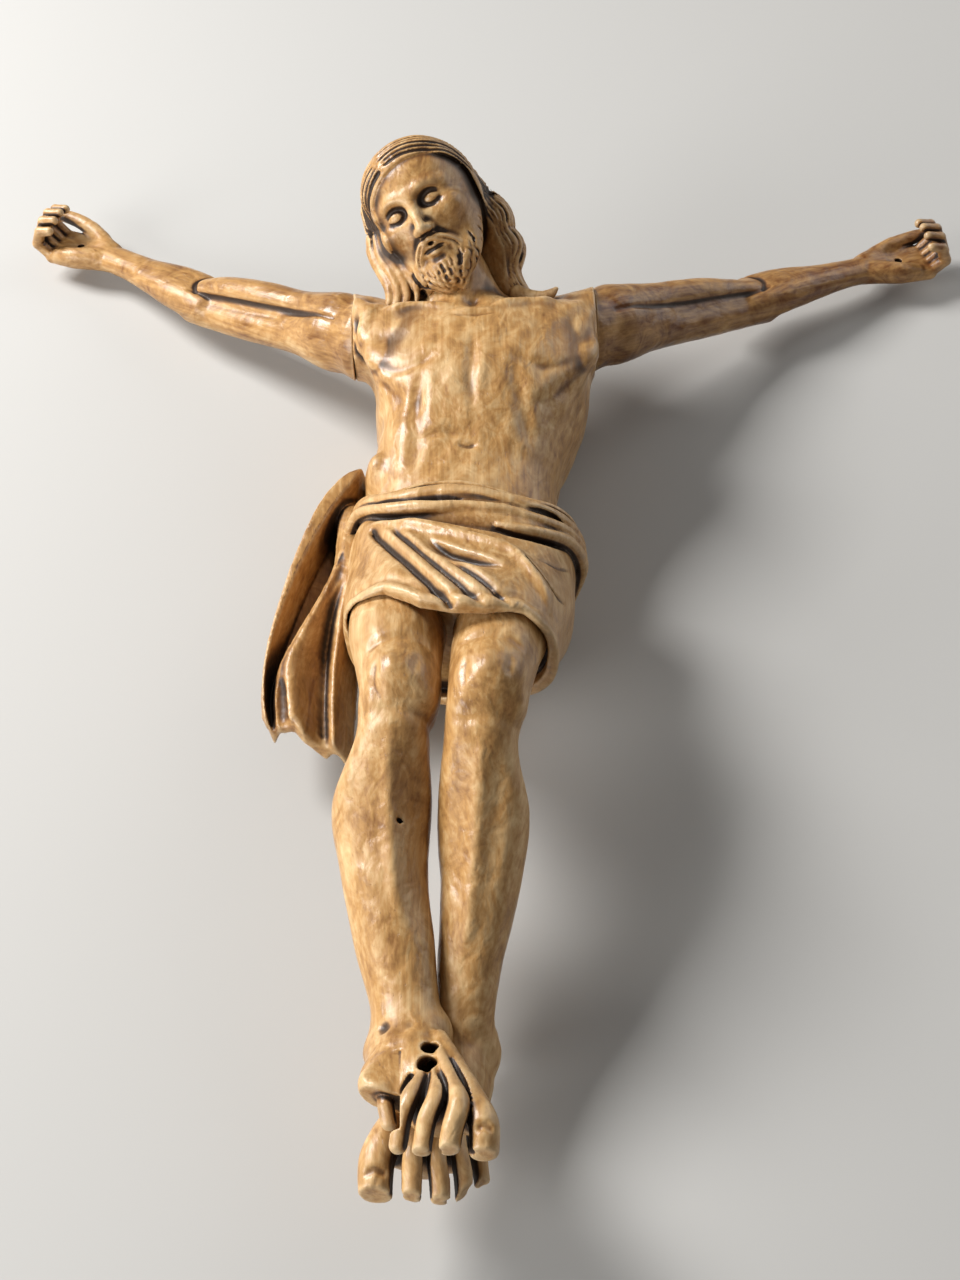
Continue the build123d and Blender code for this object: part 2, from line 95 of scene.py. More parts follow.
def curve(points, step=1.5):
    # a smooth line through points; further columns such as radius are carried along
    p = np.array(points, float)
    if len(p) < 3:
        ends = np.linalg.norm(p[1, :3] - p[0, :3])
        t = np.linspace(0, 1, max(2, int(ends / step) + 1))[:, None]
        return p[0] + (p[1] - p[0]) * t
    p = np.vstack([2 * p[0] - p[1], p, 2 * p[-1] - p[-2]])
    out = []
    for a, b, c, d in zip(p[:-3], p[1:-2], p[2:-1], p[3:]):
        count = max(2, int(np.linalg.norm(c[:3] - b[:3]) / step) + 1)
        t = np.linspace(0, 1, count, endpoint=False)[:, None]
        bend = (2 * a - 5 * b + 4 * c - d) * t * t + (3 * b - a - 3 * c + d) * t ** 3
        out.append(0.5 * (2 * b + (c - a) * t + bend))
    out.append(p[-2][None])
    return np.vstack(out)


def along(stations, at):
    # smooth values between stations: first column is the place, the rest are sizes
    s = np.array(sorted(stations), float)
    place = s[:, 0]
    value = s[:, 1:]
    slope = np.gradient(value, place, axis=0)
    i = np.clip(np.searchsorted(place, at) - 1, 0, len(place) - 2)
    gap = (place[i + 1] - place[i])[:, None]
    t = np.clip((at - place[i])[:, None] / gap, 0, 1)
    h = value[i] * (2 * t ** 3 - 3 * t ** 2 + 1) + value[i + 1] * (3 * t ** 2 - 2 * t ** 3)
    h += gap * (slope[i] * (t ** 3 - 2 * t ** 2 + t) + slope[i + 1] * (t ** 3 - t ** 2))
    return h.T.astype(np.float32)


def lathe(block, stations, squareness=2.0, blend=0.0, ends=2.0):
    # a trunk or leg along y: place, left edge, right edge, back, front
    places = [s[0] for s in stations]
    high = block["low"] + block["cell"] * np.array(block["field"].shape)
    first = (block["low"][0], min(places) - far, block["low"][2])
    cut, x, y, z = window(block, first, (high[0], max(places) + far, high[2]))
    left, right, back, front = (v[None, :, None] for v in along(stations, y.ravel()))
    u = (2 * x - left - right) / (right - left)
    v = (2 * z - back - front) / (front - back)
    power = squareness
    r = (np.abs(u) ** power + np.abs(v) ** power) ** (1 / power) + 1e-4
    gu = (np.abs(u) / r) ** (power - 1) * 2 / (right - left)
    gv = (np.abs(v) / r) ** (power - 1) * 2 / (front - back)
    dist = (r - 1) / np.sqrt(gu * gu + gv * gv + 1e-6)
    over = np.maximum(y - max(places), min(places) - y) + ends
    dist = -meet(-dist, -over, 2 * ends)
    join(block, cut, dist, blend)


def partOf(block, cut, field):
    # a window of the block as a small block of its own
    start = np.array([s.start for s in cut])
    return {"low": block["low"] + block["cell"] * start, "cell": block["cell"], "field": field}


def beside(block, a, b, reach):
    # the cells within reach of a line from a to b, their place along it and their squared distance
    near, x, y, z = window(block, np.minimum(a[:3], b[:3]) - reach, np.maximum(a[:3], b[:3]) + reach)
    step = b[:3] - a[:3]
    t = ((x - a[0]) * step[0] + (y - a[1]) * step[1] + (z - a[2]) * step[2]) / max(step @ step, 1e-9)
    t = np.clip(t, 0, 1)
    square = (x - a[0] - t * step[0]) ** 2 + (y - a[1] - t * step[1]) ** 2 + (z - a[2] - t * step[2]) ** 2
    return near, t, square


def rods(block, points, blend=0.0, own=0.0, cutting=False):
    # round rods through points of x, y, z, radius; own is the blend from one rod to the next
    p = np.array(points, float)
    reach = 3 + blend
    low = (p[:, :3] - p[:, 3:4]).min(0) - reach
    high = (p[:, :3] + p[:, 3:4]).max(0) + reach
    cut = window(block, low, high)[0]
    dist = np.full(block["field"][cut].shape, 50, np.float32)
    if dist.size == 0:
        return
    small = partOf(block, cut, dist)
    for a, b in zip(p[:-1], p[1:]):
        near, t, square = beside(small, a, b, max(a[3], b[3]) + reach)
        dist[near] = meet(dist[near], np.sqrt(square) - (a[3] + t * (b[3] - a[3])), own)
    change = cutAway if cutting else join
    change(block, cut, dist, blend)


def bentRods(block, lines, **how):
    for line in lines:
        rods(block, curve(line), **how)


def blob(block, centre, radii, blend=0.0, cutting=False):
    # an egg with three radii
    c = np.array(centre, float)
    r = np.array(radii, float)
    reach = r.max() + 3 + 2 * blend
    cut, x, y, z = window(block, c - reach, c + reach)
    p = [x - c[0], y - c[1], z - c[2]]
    k0 = np.sqrt(sum((p[j] / r[j]) ** 2 for j in range(3)))
    k1 = np.sqrt(sum((p[j] / r[j] ** 2) ** 2 for j in range(3))) + 1e-6
    change = cutAway if cutting else join
    change(block, cut, k0 * (k0 - 1) / k1, blend)


def blobs(block, rows):
    # rows of centre, radii and blend
    for centre, radii, blend in rows:
        blob(block, centre, radii, blend)


def faded(points, radius, height, fade):
    # a line with its radius and a height that dies away at both ends
    p = np.array(points, float)
    step = np.linalg.norm(np.diff(p[:, :3], axis=0), axis=1)
    place = np.concatenate([[0], np.cumsum(step)]) / max(step.sum(), 1e-6)
    share = ease(np.minimum(place, 1 - place) / fade + 0.05) if fade > 0 else np.ones(len(p))
    return np.column_stack([p[:, :3], radius * (0.6 + 0.4 * share), height * share])


def sample(block, points):
    # the block's value at any points
    field = block["field"]
    at = np.clip((points - block["low"]) / block["cell"], 0, np.array(field.shape) - 1.001)
    i = at.astype(int)
    f = at - i
    value = 0
    for corner in range(8):
        o = np.array((corner & 1, corner >> 1 & 1, corner >> 2))
        value = value + np.prod(np.where(o, f, 1 - f), axis=1) * field[tuple((i + o).T)]
    return value


def slopeAt(block, points):
    # the way out of the wood at any points
    step = 1.2 * block["cell"] * np.eye(3)
    rise = [sample(block, points + o) - sample(block, points - o) for o in step]
    return np.array(rise).T / (2.4 * block["cell"])


def laid(block, points, rounds=5):
    # moves points onto the nearest carved surface
    p = np.array(points, float)
    for _ in range(rounds):
        slope = slopeAt(block, p[:, :3])
        push = sample(block, p[:, :3]) / np.maximum((slope ** 2).sum(1), 0.2)
        p[:, :3] -= 0.9 * push[:, None] * slope
    return p


strokeReach = 2.3  # how many radii away a stroke has died out


def stroke(block, points, radius, height, fade=0.25):
    # raises the surface along a line of x, y, z; a minus height cuts a groove
    p = faded(laid(block, curve(points, 1.0)), radius, height, fade)
    low = (p[:, :3] - strokeReach * p[:, 3:4]).min(0)
    high = (p[:, :3] + strokeReach * p[:, 3:4]).max(0)
    cut = window(block, low, high)[0]
    lift = np.zeros(block["field"][cut].shape, np.float32)
    if lift.size == 0:
        return
    small = partOf(block, cut, lift)
    for a, b in zip(p[:-1], p[1:]):
        near, t, square = beside(small, a, b, strokeReach * max(a[3], b[3]))
        wide = a[3] + t * (b[3] - a[3])
        d = np.exp(-square / (wide * wide)) * (a[4] + t * (b[4] - a[4]))
        lift[near] = np.where(np.abs(d) > np.abs(lift[near]), d, lift[near])
    block["field"][cut] -= lift


def relief(block, points, radius, height, base, fade=0.25, lean=1.0, sharp=False):
    # a stroke on the front, above a base level, through points of x, y
    # lean makes its left side wide and its right side steep, sharp gives it straight flanks
    p = np.array(points, float)
    p = faded(curve(np.column_stack([p, np.zeros(len(p))]), 1.0), radius, height, fade)
    margin = strokeReach * max(lean, 1 / lean) * p[:, 3:4]
    low = (p[:, :2] - margin).min(0)
    high = (p[:, :2] + margin).max(0)
    top = block["low"][2] + block["cell"] * block["field"].shape[2]
    cut, x, y, z = window(block, (*low, base - 3), (*high, top))
    if 0 in (x.size, y.size, z.size):
        return
    x = x[:, :, 0]
    y = y[:, :, 0]
    lift = np.zeros((x.shape[0], y.shape[1]), np.float32)
    for a, b in zip(p[:-1], p[1:]):
        step = b[:2] - a[:2]
        t = np.clip(((x - a[0]) * step[0] + (y - a[1]) * step[1]) / max(step @ step, 1e-9), 0, 1)
        d = (x - a[0] - t * step[0]) ** 2 + (y - a[1] - t * step[1]) ** 2
        wide = a[3] + t * (b[3] - a[3])
        if lean != 1:
            wide = wide * np.where(step[0] * (y - a[1]) - step[1] * (x - a[0]) > 0, lean, 1 / lean)
        if sharp:
            fall = np.maximum(1 - np.sqrt(d) / (1.6 * wide), 0) ** 1.5
        else:
            fall = np.exp(-d / (wide * wide))
        d = fall * (a[4] + t * (b[4] - a[4]))
        lift = np.where(np.abs(d) > np.abs(lift), d, lift)
    block["field"][cut] -= lift[:, :, None] * ease((z - base + 3) / 6)


def reliefs(block, rows, **how):
    # rows of radius, height, base, fade and the points of a line
    for radius, height, base, fade, *line in rows:
        relief(block, line, radius, height, base, fade, **how)


def edgeOver(x, line):
    # the height of an edge, given as points of x, y, over every x of a block
    line = np.array(line, float)
    return np.interp(x.ravel(), line[:, 0], line[:, 1]).astype(np.float32)[:, None, None]


def folds(block, rows, thick):
    # a folded sheet: at each place along y, x and z of its crests and valleys from one edge to the other
    cut, x, y, z = whole(block)
    places = sorted(rows)
    stations = [(place, *np.array(rows[place], float).ravel()) for place in places]
    line = along(stations, y.ravel()).reshape(-1, 2, y.size)
    xs = x.ravel()
    top = np.empty((x.size, y.size), np.float32)
    side = np.empty_like(top)
    for j in range(y.size):
        px, pz = line[:, 0, j], line[:, 1, j]
        i = np.clip(np.searchsorted(px, xs) - 1, 0, len(px) - 2)
        t = (xs - px[i]) / np.maximum(px[i + 1] - px[i], 1e-3)
        top[:, j] = pz[i] + (pz[i + 1] - pz[i]) * ease(t)
        side[:, j] = np.maximum(px[0] - xs, xs - px[-1])
    for _ in range(3):
        top[1:-1] = 0.25 * top[:-2] + 0.5 * top[1:-1] + 0.25 * top[2:]
        top[:, 1:-1] = 0.25 * top[:, :-2] + 0.5 * top[:, 1:-1] + 0.25 * top[:, 2:]
    slope = np.gradient(top, block["cell"])
    steep = np.sqrt(1 + np.clip(slope[0] ** 2 + slope[1] ** 2, 0, 9))
    over = (z - top[:, :, None]) / steep[:, :, None]
    under = ((top - thick)[:, :, None] - z) / steep[:, :, None]
    sheet = -meet(-over, -under, 1.0)
    sheet = -meet(-sheet, -side[:, :, None], 2.5)
    ends = np.maximum(y - places[-1], places[0] - y)
    join(block, cut, -meet(-sheet, -ends, 1.0))


def gouge(block, seed, size, depth):
    # shallow facets left by the carver's tools
    draw = np.random.default_rng(seed)
    cut, x, y, z = whole(block)
    for octave in range(3):
        turn = draw.normal(size=(3, 3)) / (size / 1.5 ** octave)
        shift = draw.uniform(0, 6.28, 3)
        waves = [np.sin(turn[k][0] * x + turn[k][1] * y + turn[k][2] * z + shift[k]) for k in range(3)]
        block["field"] += (depth / 1.6 ** octave) * waves[0] * waves[1] * waves[2]


def meshOf(block, name, place=None, grain=None):
    # turns the block into a closed mesh, in metres, with its hollows and its grain on the points
    grid = openvdb.FloatGrid(far)
    grid.copyFromArray(np.ascontiguousarray(block["field"]))
    points, quads = grid.convertToQuads(0.0)
    points = points.astype(np.float64) * block["cell"] + block["low"]
    a, b, c, d = (points[quads[:, k]] for k in range(4))
    if (np.cross(c - a, d - b) * (a + b + c + d)).sum() < 0:
        quads = quads[:, ::-1]
    # the closed-in measure, later painted into the wood colour as shade
    pit = shelter(block, points)
    if place is not None:
        points = points @ place[0] + place[1]
    mesh = bpy.data.meshes.new(name)
    mesh.vertices.add(len(points))
    mesh.vertices.foreach_set("co", (points * mm).astype(np.float32).ravel())
    mesh.loops.add(quads.size)
    mesh.loops.foreach_set("vertex_index", quads.astype(np.int32).ravel())
    mesh.polygons.add(len(quads))
    mesh.polygons.foreach_set("loop_start", np.arange(0, quads.size, 4, dtype=np.int32))
    mesh.polygons.foreach_set("loop_total", np.full(len(quads), 4, np.int32))
    mesh.polygons.foreach_set("use_smooth", np.ones(len(quads), bool))
    mesh.update(calc_edges=True)
    mesh.validate()
    lengthwise = points if grain is None else points @ np.array(grain, float).T
    for label, values in (("hollow", hollows(mesh, block["cell"])), ("pit", pit)):
        layer = mesh.attributes.new(label, "FLOAT", "POINT")
        layer.data.foreach_set("value", values.astype(np.float32))
    layer = mesh.attributes.new("grain", "FLOAT_VECTOR", "POINT")
    layer.data.foreach_set("vector", (lengthwise * mm).astype(np.float32).ravel())
    piece = bpy.data.objects.new(name, mesh)
    bpy.context.scene.collection.objects.link(piece)
    print("carved", name, len(points), "points")
    return piece


def shelter(block, points):
    # how closed in each point is, from wood found a few millimetres above it; the wood colour uses it to
    # paint shade into hollows
    out = slopeAt(block, points)
    pace = np.linalg.norm(out, axis=1) + 1e-6  # where forms are blended, distances grow slowly
    out /= pace[:, None]
    pace = np.clip(pace, 0.35, 1.0)
    closed = 0
    for reach, share in ((1.2, 0.33), (2.4, 0.33), (4.5, 0.34)):
        above = sample(block, points + reach * out)
        closed = closed + share * np.clip(1 - above / (reach * pace), 0, 1)
    return closed


def hollows(mesh, cell):
    # how far each point lies under its smoothed neighbourhood, fine and broad
    count = len(mesh.vertices)
    co = np.empty(count * 3, np.float32)
    mesh.vertices.foreach_get("co", co)
    co = co.reshape(-1, 3).astype(np.float64) / mm
    normal = np.empty(count * 3, np.float32)
    mesh.vertex_normals.foreach_get("vector", normal)
    normal = normal.reshape(-1, 3)
    ends = np.empty(len(mesh.edges) * 2, np.int32)
    mesh.edges.foreach_get("vertices", ends)
    a, b = ends.reshape(-1, 2).T
    degree = np.bincount(a, minlength=count) + np.bincount(b, minlength=count)
    soft = co.copy()
    fine = None
    rounds = int(round(14 / cell))
    for i in range(rounds):
        total = np.empty_like(soft)
        for k in range(3):
            total[:, k] = np.bincount(a, soft[b, k], count) + np.bincount(b, soft[a, k], count)
        soft = 0.3 * soft + 0.7 * total / np.maximum(degree, 1)[:, None]
        if i == rounds // 4:
            fine = ((soft - co) * normal).sum(1)
    return fine + 0.6 * ((soft - co) * normal).sum(1)


torso = dict(
    cell=0.7,
    low=(-42, 0, -2),
    high=(54, 146, 80),
    # place up the body, left edge, right edge, back, front
    stations=[
        (126, -8, 22, 24, 46), (117, -22, 36, 12, 53), (108, -29, 44, 3, 58), (98, -31.5, 47.5, -3, 61),
        (84, -30.5, 46.5, -4, 63.5), (68, -30.5, 42.5, -2, 63), (60, -29.5, 40, 1, 61.5),
        (46, -31, 35, 3, 57.5), (34, -32.5, 33, 3, 54), (16, -33, 33, 0, 52), (4, -33, 33, 0, 50),
    ],
    squareness=2.5,
    neck=[(7, 98, 36, 17), (5, 112, 42, 14.5), (1, 124, 50, 12.5), (-6, 141, 61, 12)],
    shoulders=[[(-14, 110, 38, 15), (-46, 115, 40, 15.4)], [(28, 111, 38, 15), (58, 117, 40, 15.4)]],
    chestToShoulder=[[(-37, 112, 43, 9), (-19, 96, 49.5, 8.5)], [(48, 113, 43, 9), (34, 97, 49.5, 8.5)]],
    muscles=[
        ((-12, 88, 54.2), (21, 17, 4.8), 14),
        ((27, 88, 54.2), (21, 17, 4.8), 14),
    ],
    flank=((-29, 38, 36), (4.5, 7, 11)),
    # radius, height, base, fade and points of x, y
    reliefs=[
        # hollow under the ribs
        (8, -1.2, 40, 0.25, (-14, 36), (2, 40), (18, 36)),
        # collar bones and the pit of the neck
        (2.6, 1.5, 40, 0.25, (-2.5, 102.5), (-15.5, 107), (-27, 105)),
        (2.6, 1.5, 40, 0.25, (12, 102), (22, 106.5), (36, 109)),
        (3, -1.6, 36, 0.25, (-6, 109), (-16, 113), (-25, 112)),
        (3, -1.6, 36, 0.25, (17, 110), (26, 113), (35, 114)),
        (3.2, -2.2, 40, 0.25, (5, 108), (5, 104)),
        (1.0, -0.6, 40, 0.25, (-3.4, 96.3), (5, 95.6), (14.6, 96.7)),
        (1.2, 0.5, 40, 0.25, (-5, 99), (5, 98.6), (15, 99.5)),
        # breast bone, furrows and ridges down the belly
        (2.2, -1.0, 40, 0.25, (5, 84), (3.9, 70), (3.5, 58), (4.2, 49)),
        (2.2, 0.4, 40, 0.25, (9, 78), (7.4, 63), (6, 49)),
        (3.0, -1.2, 38, 0.4, (-12, 73), (-12.9, 69), (-14.7, 59), (-14.9, 50), (-15.4, 40), (-17, 26)),
        (3.0, 0.5, 38, 0.4, (-17.5, 64), (-18.4, 56), (-19.4, 46), (-20.4, 35), (-21, 29)),
        (3.0, 0.35, 38, 0.4, (-8.6, 67), (-10.6, 56), (-11.6, 44), (-12, 36)),
        (1.8, -1.0, 40, 0.25, (-13.7, 41.7), (-5.8, 43.4), (5.5, 42)),
        (1.2, -1.0, 40, 0.25, (-1.3, 39), (2.1, 37.6), (5.5, 38.4)),
        (2.6, -0.8, 38, 0.25, (18.8, 72), (20.2, 58), (22.7, 47), (23.5, 37)),
        (3, 0.5, 38, 0.25, (25, 66), (26, 55), (27, 44)),
        (2.2, -0.8, 36, 0.25, (-8, 74), (-20, 71), (-29, 78)),
        (2.2, -0.7, 36, 0.25, (16, 74), (30, 70), (41, 77)),
    ],
    # radius, height and points of x, y, z: shoulder fold and armpits
    armpits=[
        (3.2, 1.6, (-40, 118, 52), (-34.5, 110, 52.5), (-30, 102, 52), (-28, 94, 50)),
        (2.4, -1.4, (-40, 111, 42), (-35, 106, 45), (-31, 99, 46), (-30, 92, 44)),
        (2.4, -1.6, (51, 112, 43), (46, 104, 45), (44, 96, 44)),
    ],
    navel=[(-2.4, 30.8, 54.2, 1.0), (2.4, 30.4, 54.2, 1.0)],
    wormHole=[(17, 106, 60, 0.7), (17, 105, 50, 0.7)],
    seams=(-38.95, 49.95),
)


def carveTorso():
    t = torso
    block = newBlock(t["low"], t["high"], t["cell"])
    lathe(block, t["stations"], t["squareness"])
    for line in t["shoulders"]:
        rods(block, line, blend=9)
    rods(block, t["neck"], blend=8, own=4)
    blobs(block, t["muscles"])
    for line in t["chestToShoulder"]:
        rods(block, line, blend=8)
    blob(block, *t["flank"], blend=5)
    reliefs(block, t["reliefs"])
    for radius, height, *line in t["armpits"]:
        stroke(block, line, radius, height)
    rods(block, t["navel"], cutting=True, blend=0.8)
    rods(block, t["wormHole"], cutting=True)
    # flat back and the faces that the arms are glued to
    cut, x, y, z = whole(block)
    cutAway(block, cut, z)
    cutAway(block, cut, x - t["seams"][0])
    cutAway(block, cut, t["seams"][1] - x)
    gouge(block, 3, 6, 0.3)
    return meshOf(block, "torsoCarving")


rightLeg = dict(
    name="rightLegCarving", seed=11,
    cell=0.53,
    low=(-43, -230, 4),
    high=(12, -20, 79),
    stations=[
        (-22, -35, -3, 24, 58), (-50, -35.5, -5.5, 37, 69.5), (-68, -32.5, -6.5, 46.5, 71.5),
        (-80, -31, -7, 48, 71), (-92, -32.2, -10, 44, 66.5), (-109, -39, -9.7, 32.4, 59),
        (-127, -36.7, -10.9, 29, 52.5), (-150, -32.3, -9.3, 26.8, 46.5), (-168, -27.6, -8, 24.4, 42),
        (-180, -26, -7, 21.4, 40),
    ],
    # centre, radii and blend
    knee=[
        ((-19.5, -76, 64.5), (8.5, 9, 8), 4),
        ((-13, -83, 62.5), (4.5, 5, 5.5), 3),
        ((-26, -83, 60), (4, 6, 5), 3),
    ],
    tendon=[(-19.5, -86, 62, 4.5), (-20.5, -96, 58, 4)],
    # radius, height, base, fade and points of x, y
    reliefs=[
        # round the knee cap
        (2, -0.9, 50, 0.25, (-30, -70), (-24, -66), (-15, -65), (-9, -69)),
        (2.8, -1.1, 48, 0.25, (-27, -89), (-19, -89), (-12.7, -89), (-8, -88)),
        (1.3, -0.7, 50, 0.25, (-25.5, -74), (-26, -82), (-23, -88)),
        (1.5, -0.6, 50, 0.25, (-13.5, -73), (-14.6, -79)),
        (2.2, 0.6, 50, 0.25, (-22, -72.5), (-21, -80)),
        # shin crest with a flat plane on its inner side
        (2.6, 1.3, 30, 0.25, (-21.5, -92), (-21.7, -114), (-21, -130), (-19, -150)),
        (3.2, -0.8, 30, 0.25, (-15, -95), (-14.8, -115), (-14.6, -135), (-13.5, -155)),
        (3, -0.5, 30, 0.25, (-29, -98), (-31, -112), (-28, -135)),
    ],
    ankle=[
        ((-8.6, -177, 32), (4, 5, 5), 4),
        ((-25, -181, 29), (4, 5, 5), 4),
        ((-17.5, -172, 24), (8, 9, 8), 5),
    ],
    # blend from rod to rod and points of x, y, z, radius
    foot=[
        (4, (-16.5, -176, 31, 9.2), (-15.5, -186, 34.5, 9.2), (-12, -196, 39, 8.5), (-9, -205, 43.5, 7)),
        (3, (-20.5, -183, 32, 6.5), (-22.5, -194, 38, 6), (-22.8, -200, 41.5, 4.8)),
        (3, (-20, -200, 42, 4.2), (-9, -207, 44.5, 5), (1, -210, 46.5, 4.8)),
    ],
    notches=[
        (1.6, -1.0, (-23.9, -178.4, 40), (-22, -181, 40)),
        (2.0, -1.1, (-19, -183, 43), (-15.5, -180, 43)),
    ],
    # blend with the foot and points
    toes=[
        (1.2, (-8, -184, 41, 2.6), (-2.7, -197.9, 46.6, 3.3), (1.4, -208.2, 50.2, 3.7),
         (3.6, -215, 51.8, 4.1), (3.6, -221, 50.2, 4.0)),
        (0.6, (-8.5, -188, 44, 1.6), (-6.6, -195, 48.2, 1.9), (-4.2, -203.5, 51.6, 2.4),
         (-2.6, -211, 54.6, 3.0), (-4.4, -218, 54.2, 3.0), (-5.4, -224, 51, 2.8)),
        (0.6, (-9.6, -194, 47, 1.5), (-8.4, -200.5, 49.8, 1.9), (-8.2, -208, 53.2, 2.7),
         (-10.6, -214.6, 53.4, 2.8), (-12, -221, 50.4, 2.6)),
        (0.6, (-12.4, -195, 46.5, 1.5), (-12.6, -200.5, 49.2, 1.9), (-15, -206.6, 51.2, 2.6),
         (-17, -212.4, 50.4, 2.6), (-18.2, -218, 47.4, 2.4)),
    ],
    # the outer toe is broken off flat and a short one shows under it
    stump=[(-21, -194, 42, 4.6), (-24, -198.5, 43.4, 4.8), (-23.4, -204, 43, 4.4)],
    breakBox=((-43, -215, 20), (-18.4, -190, 70)),
    shortToe=[(-22.4, -198, 42.5, 2.4), (-21.8, -204.5, 43, 2.3), (-21, -208.6, 41.4, 2.1)],
    # cuts between the toes
    gaps=[
        [(-4.6, -194, 48.5, 0.6), (-1.2, -205, 52, 1.2), (-0.2, -213, 53, 1.5), (-0.4, -222, 51, 1.7)],
        [(-8.2, -198, 51, 0.6), (-6, -206, 53.4, 1.1), (-7.4, -214, 54, 1.3), (-8.6, -222, 51, 1.5)],
        [(-10.6, -199, 50.4, 0.6), (-11.6, -206, 52, 1.1), (-13.8, -213, 52, 1.3), (-15, -220, 48, 1.5)],
        [(-15, -199, 47.6, 0.8), (-18.2, -206, 48, 1.3), (-20.2, -212, 46, 1.5)],
    ],
    toeEnds=[(-30, -220.86), (12, -223.38)],
    toeNail=[(1.2, -218.4, 57), (4, -217.6, 57.4), (6.6, -218.6, 56)],
    # blend and points, with the hole of the nail through both feet
    holes=[
        (0.4, (-10.6, -188.3, 52, 2.6), (-10, -190, 41, 2.4), (-9.4, -191, 36, 1.6)),
        (0.4, (-11.6, -196.2, 55, 2.8), (-10.6, -195.2, 46, 2.6), (-9.2, -194, 38, 2.2),
         (-9, -194, 20, 2.2)),
        (0, (-18.9, -120.4, 58, 0.8), (-18.9, -120.4, 48, 0.8)),
    ],
)
leftLeg = dict(
    name="leftLegCarving", seed=17,
    cell=0.53,
    low=(-33, -230, 0),
    high=(36, -20, 82),
    stations=[
        (-22, -1, 31, 24, 58), (-52, -3.5, 26.5, 39, 70.5), (-70, -4.2, 22.2, 49, 74),
        (-82, -5, 19.4, 50, 74), (-94, -6.2, 15.8, 44.7, 67.5), (-112, -8.3, 18.7, 30.8, 57.5),
        (-133, -7.7, 15.3, 25.4, 48), (-154, -8.7, 9.7, 20.9, 39.5), (-168, -9.2, 7.2, 17.2, 34.5),
        (-178, -10, 6.5, 12.7, 31),
    ],
    # centre, radii and blend
    knee=[
        ((8, -79, 67), (8.5, 9, 8), 4),
        ((2, -86, 64.5), (4.5, 5, 5), 3),
        ((14, -86, 63), (4.5, 5.5, 5), 3),
    ],
    tendon=[(7, -90, 64, 4.5), (5.2, -100, 58.5, 4)],
    # radius, height, base, fade and points of x, y
    reliefs=[
        # round the knee cap
        (2, -0.9, 50, 0.25, (-1, -69), (6, -67), (14, -68), (18, -73)),
        (2.8, -1.0, 50, 0.25, (-2, -92), (6, -93), (13.5, -92)),
        (1.4, -0.7, 50, 0.25, (0.8, -76), (0.4, -84)),
        (1.4, -0.7, 50, 0.25, (14, -76), (13.4, -83)),
        (2.2, 0.6, 50, 0.25, (8, -74), (6.5, -83)),
        # shin crest
        (2.6, 1.3, 26, 0.25, (5.6, -96), (4.6, -108), (3.6, -118), (1.6, -138), (-1, -158)),
        (2.6, -0.8, 26, 0.25, (10.5, -102), (9, -118), (6, -138)),
        (2.8, -0.6, 26, 0.25, (-1.5, -100), (-2.2, -120), (-3.2, -140)),
    ],
    ankle=[
        ((-9, -176, 22), (3.5, 5, 5), 4),
        ((5, -178, 20), (3.5, 5, 5), 4),
        ((0.5, -170, 14), (8, 9, 8.5), 5),
    ],
    # blend from rod to rod and points of x, y, z, radius
    foot=[
        (4, (-2, -176, 22, 8.6), (-5, -188, 22.5, 9), (-9, -198, 22, 9), (-12, -206, 21.5, 8)),
        (3, (-12, -190, 22, 6.5), (-18, -200, 23, 6.3), (-20.5, -206, 24, 5.5)),
        (3, (0, -186, 17, 6), (-2, -198, 18, 5.5), (-2.5, -207, 20, 5)),
    ],
    notches=[],
    # blend with the foot and points
    toes=[
        (1.2, (-19, -199, 25, 4.8), (-22.5, -207, 28.8, 4.8), (-24.8, -214, 29, 4.8),
         (-25, -223, 26.6, 4.6)),
        (0.6, (-13.5, -203, 29, 2.6), (-14.8, -212, 32, 2.9), (-15.2, -218, 30.6, 3.0),
         (-15.4, -226, 26.4, 2.8)),
        (0.6, (-8, -204, 28, 2.5), (-8.8, -213, 30.4, 2.9), (-8.2, -219.2, 28.6, 2.9), (-8, -226, 25, 2.7)),
        (0.6, (-3.4, -204, 26, 2.4), (-2.8, -212, 28, 2.6), (-2, -217.5, 26.4, 2.6),
         (-1.8, -224, 23.5, 2.4)),
        (0.6, (0.8, -203, 23, 2.2), (2, -209, 24.4, 2.3), (3, -217, 22.6, 2.2)),
    ],
    # cuts between the toes
    gaps=[
        [(-16.4, -201, 31, 0.8), (-18.6, -211, 31.4, 1.5), (-19.4, -222, 28, 1.8)],
        [(-11.2, -203, 31, 0.8), (-11.9, -213, 32, 1.3), (-11.7, -225, 27, 1.6)],
        [(-5.8, -203, 29, 0.8), (-5.6, -213, 30, 1.3), (-5, -224, 25, 1.5)],
        [(-0.8, -203, 26, 0.8), (-0.2, -211, 27, 1.2), (0.6, -221, 23, 1.4)],
    ],
    toeEnds=[(-30, -221.5), (-20, -222.3), (-12, -223.6), (-5, -223.4), (3, -216.5)],
    toeNail=[(-28, -218.4, 32), (-25, -217.6, 33.4), (-21.8, -218.4, 32)],
    # blend and points, with the hole of the nail through both feet
    holes=[
        (0, (-9, -194, 40, 2.2), (-9, -194, 9, 2.2)),
    ],
)


legSquareness = 2.15
legSeat = 5  # nothing of a leg lies lower than this


def breakToe(block, p):
    rods(block, p["stump"], blend=2, own=2)
    cut, x, y, z = window(block, *p["breakBox"])
    cutAway(block, cut, (y + 202) * 0.9 + (x + 24) * 0.25, blend=0.4)
    cutAway(block, cut, (47.2 - z) * 0.94 - (y + 198) * 0.3, blend=0.6)
    rods(block, p["shortToe"], blend=0.4)


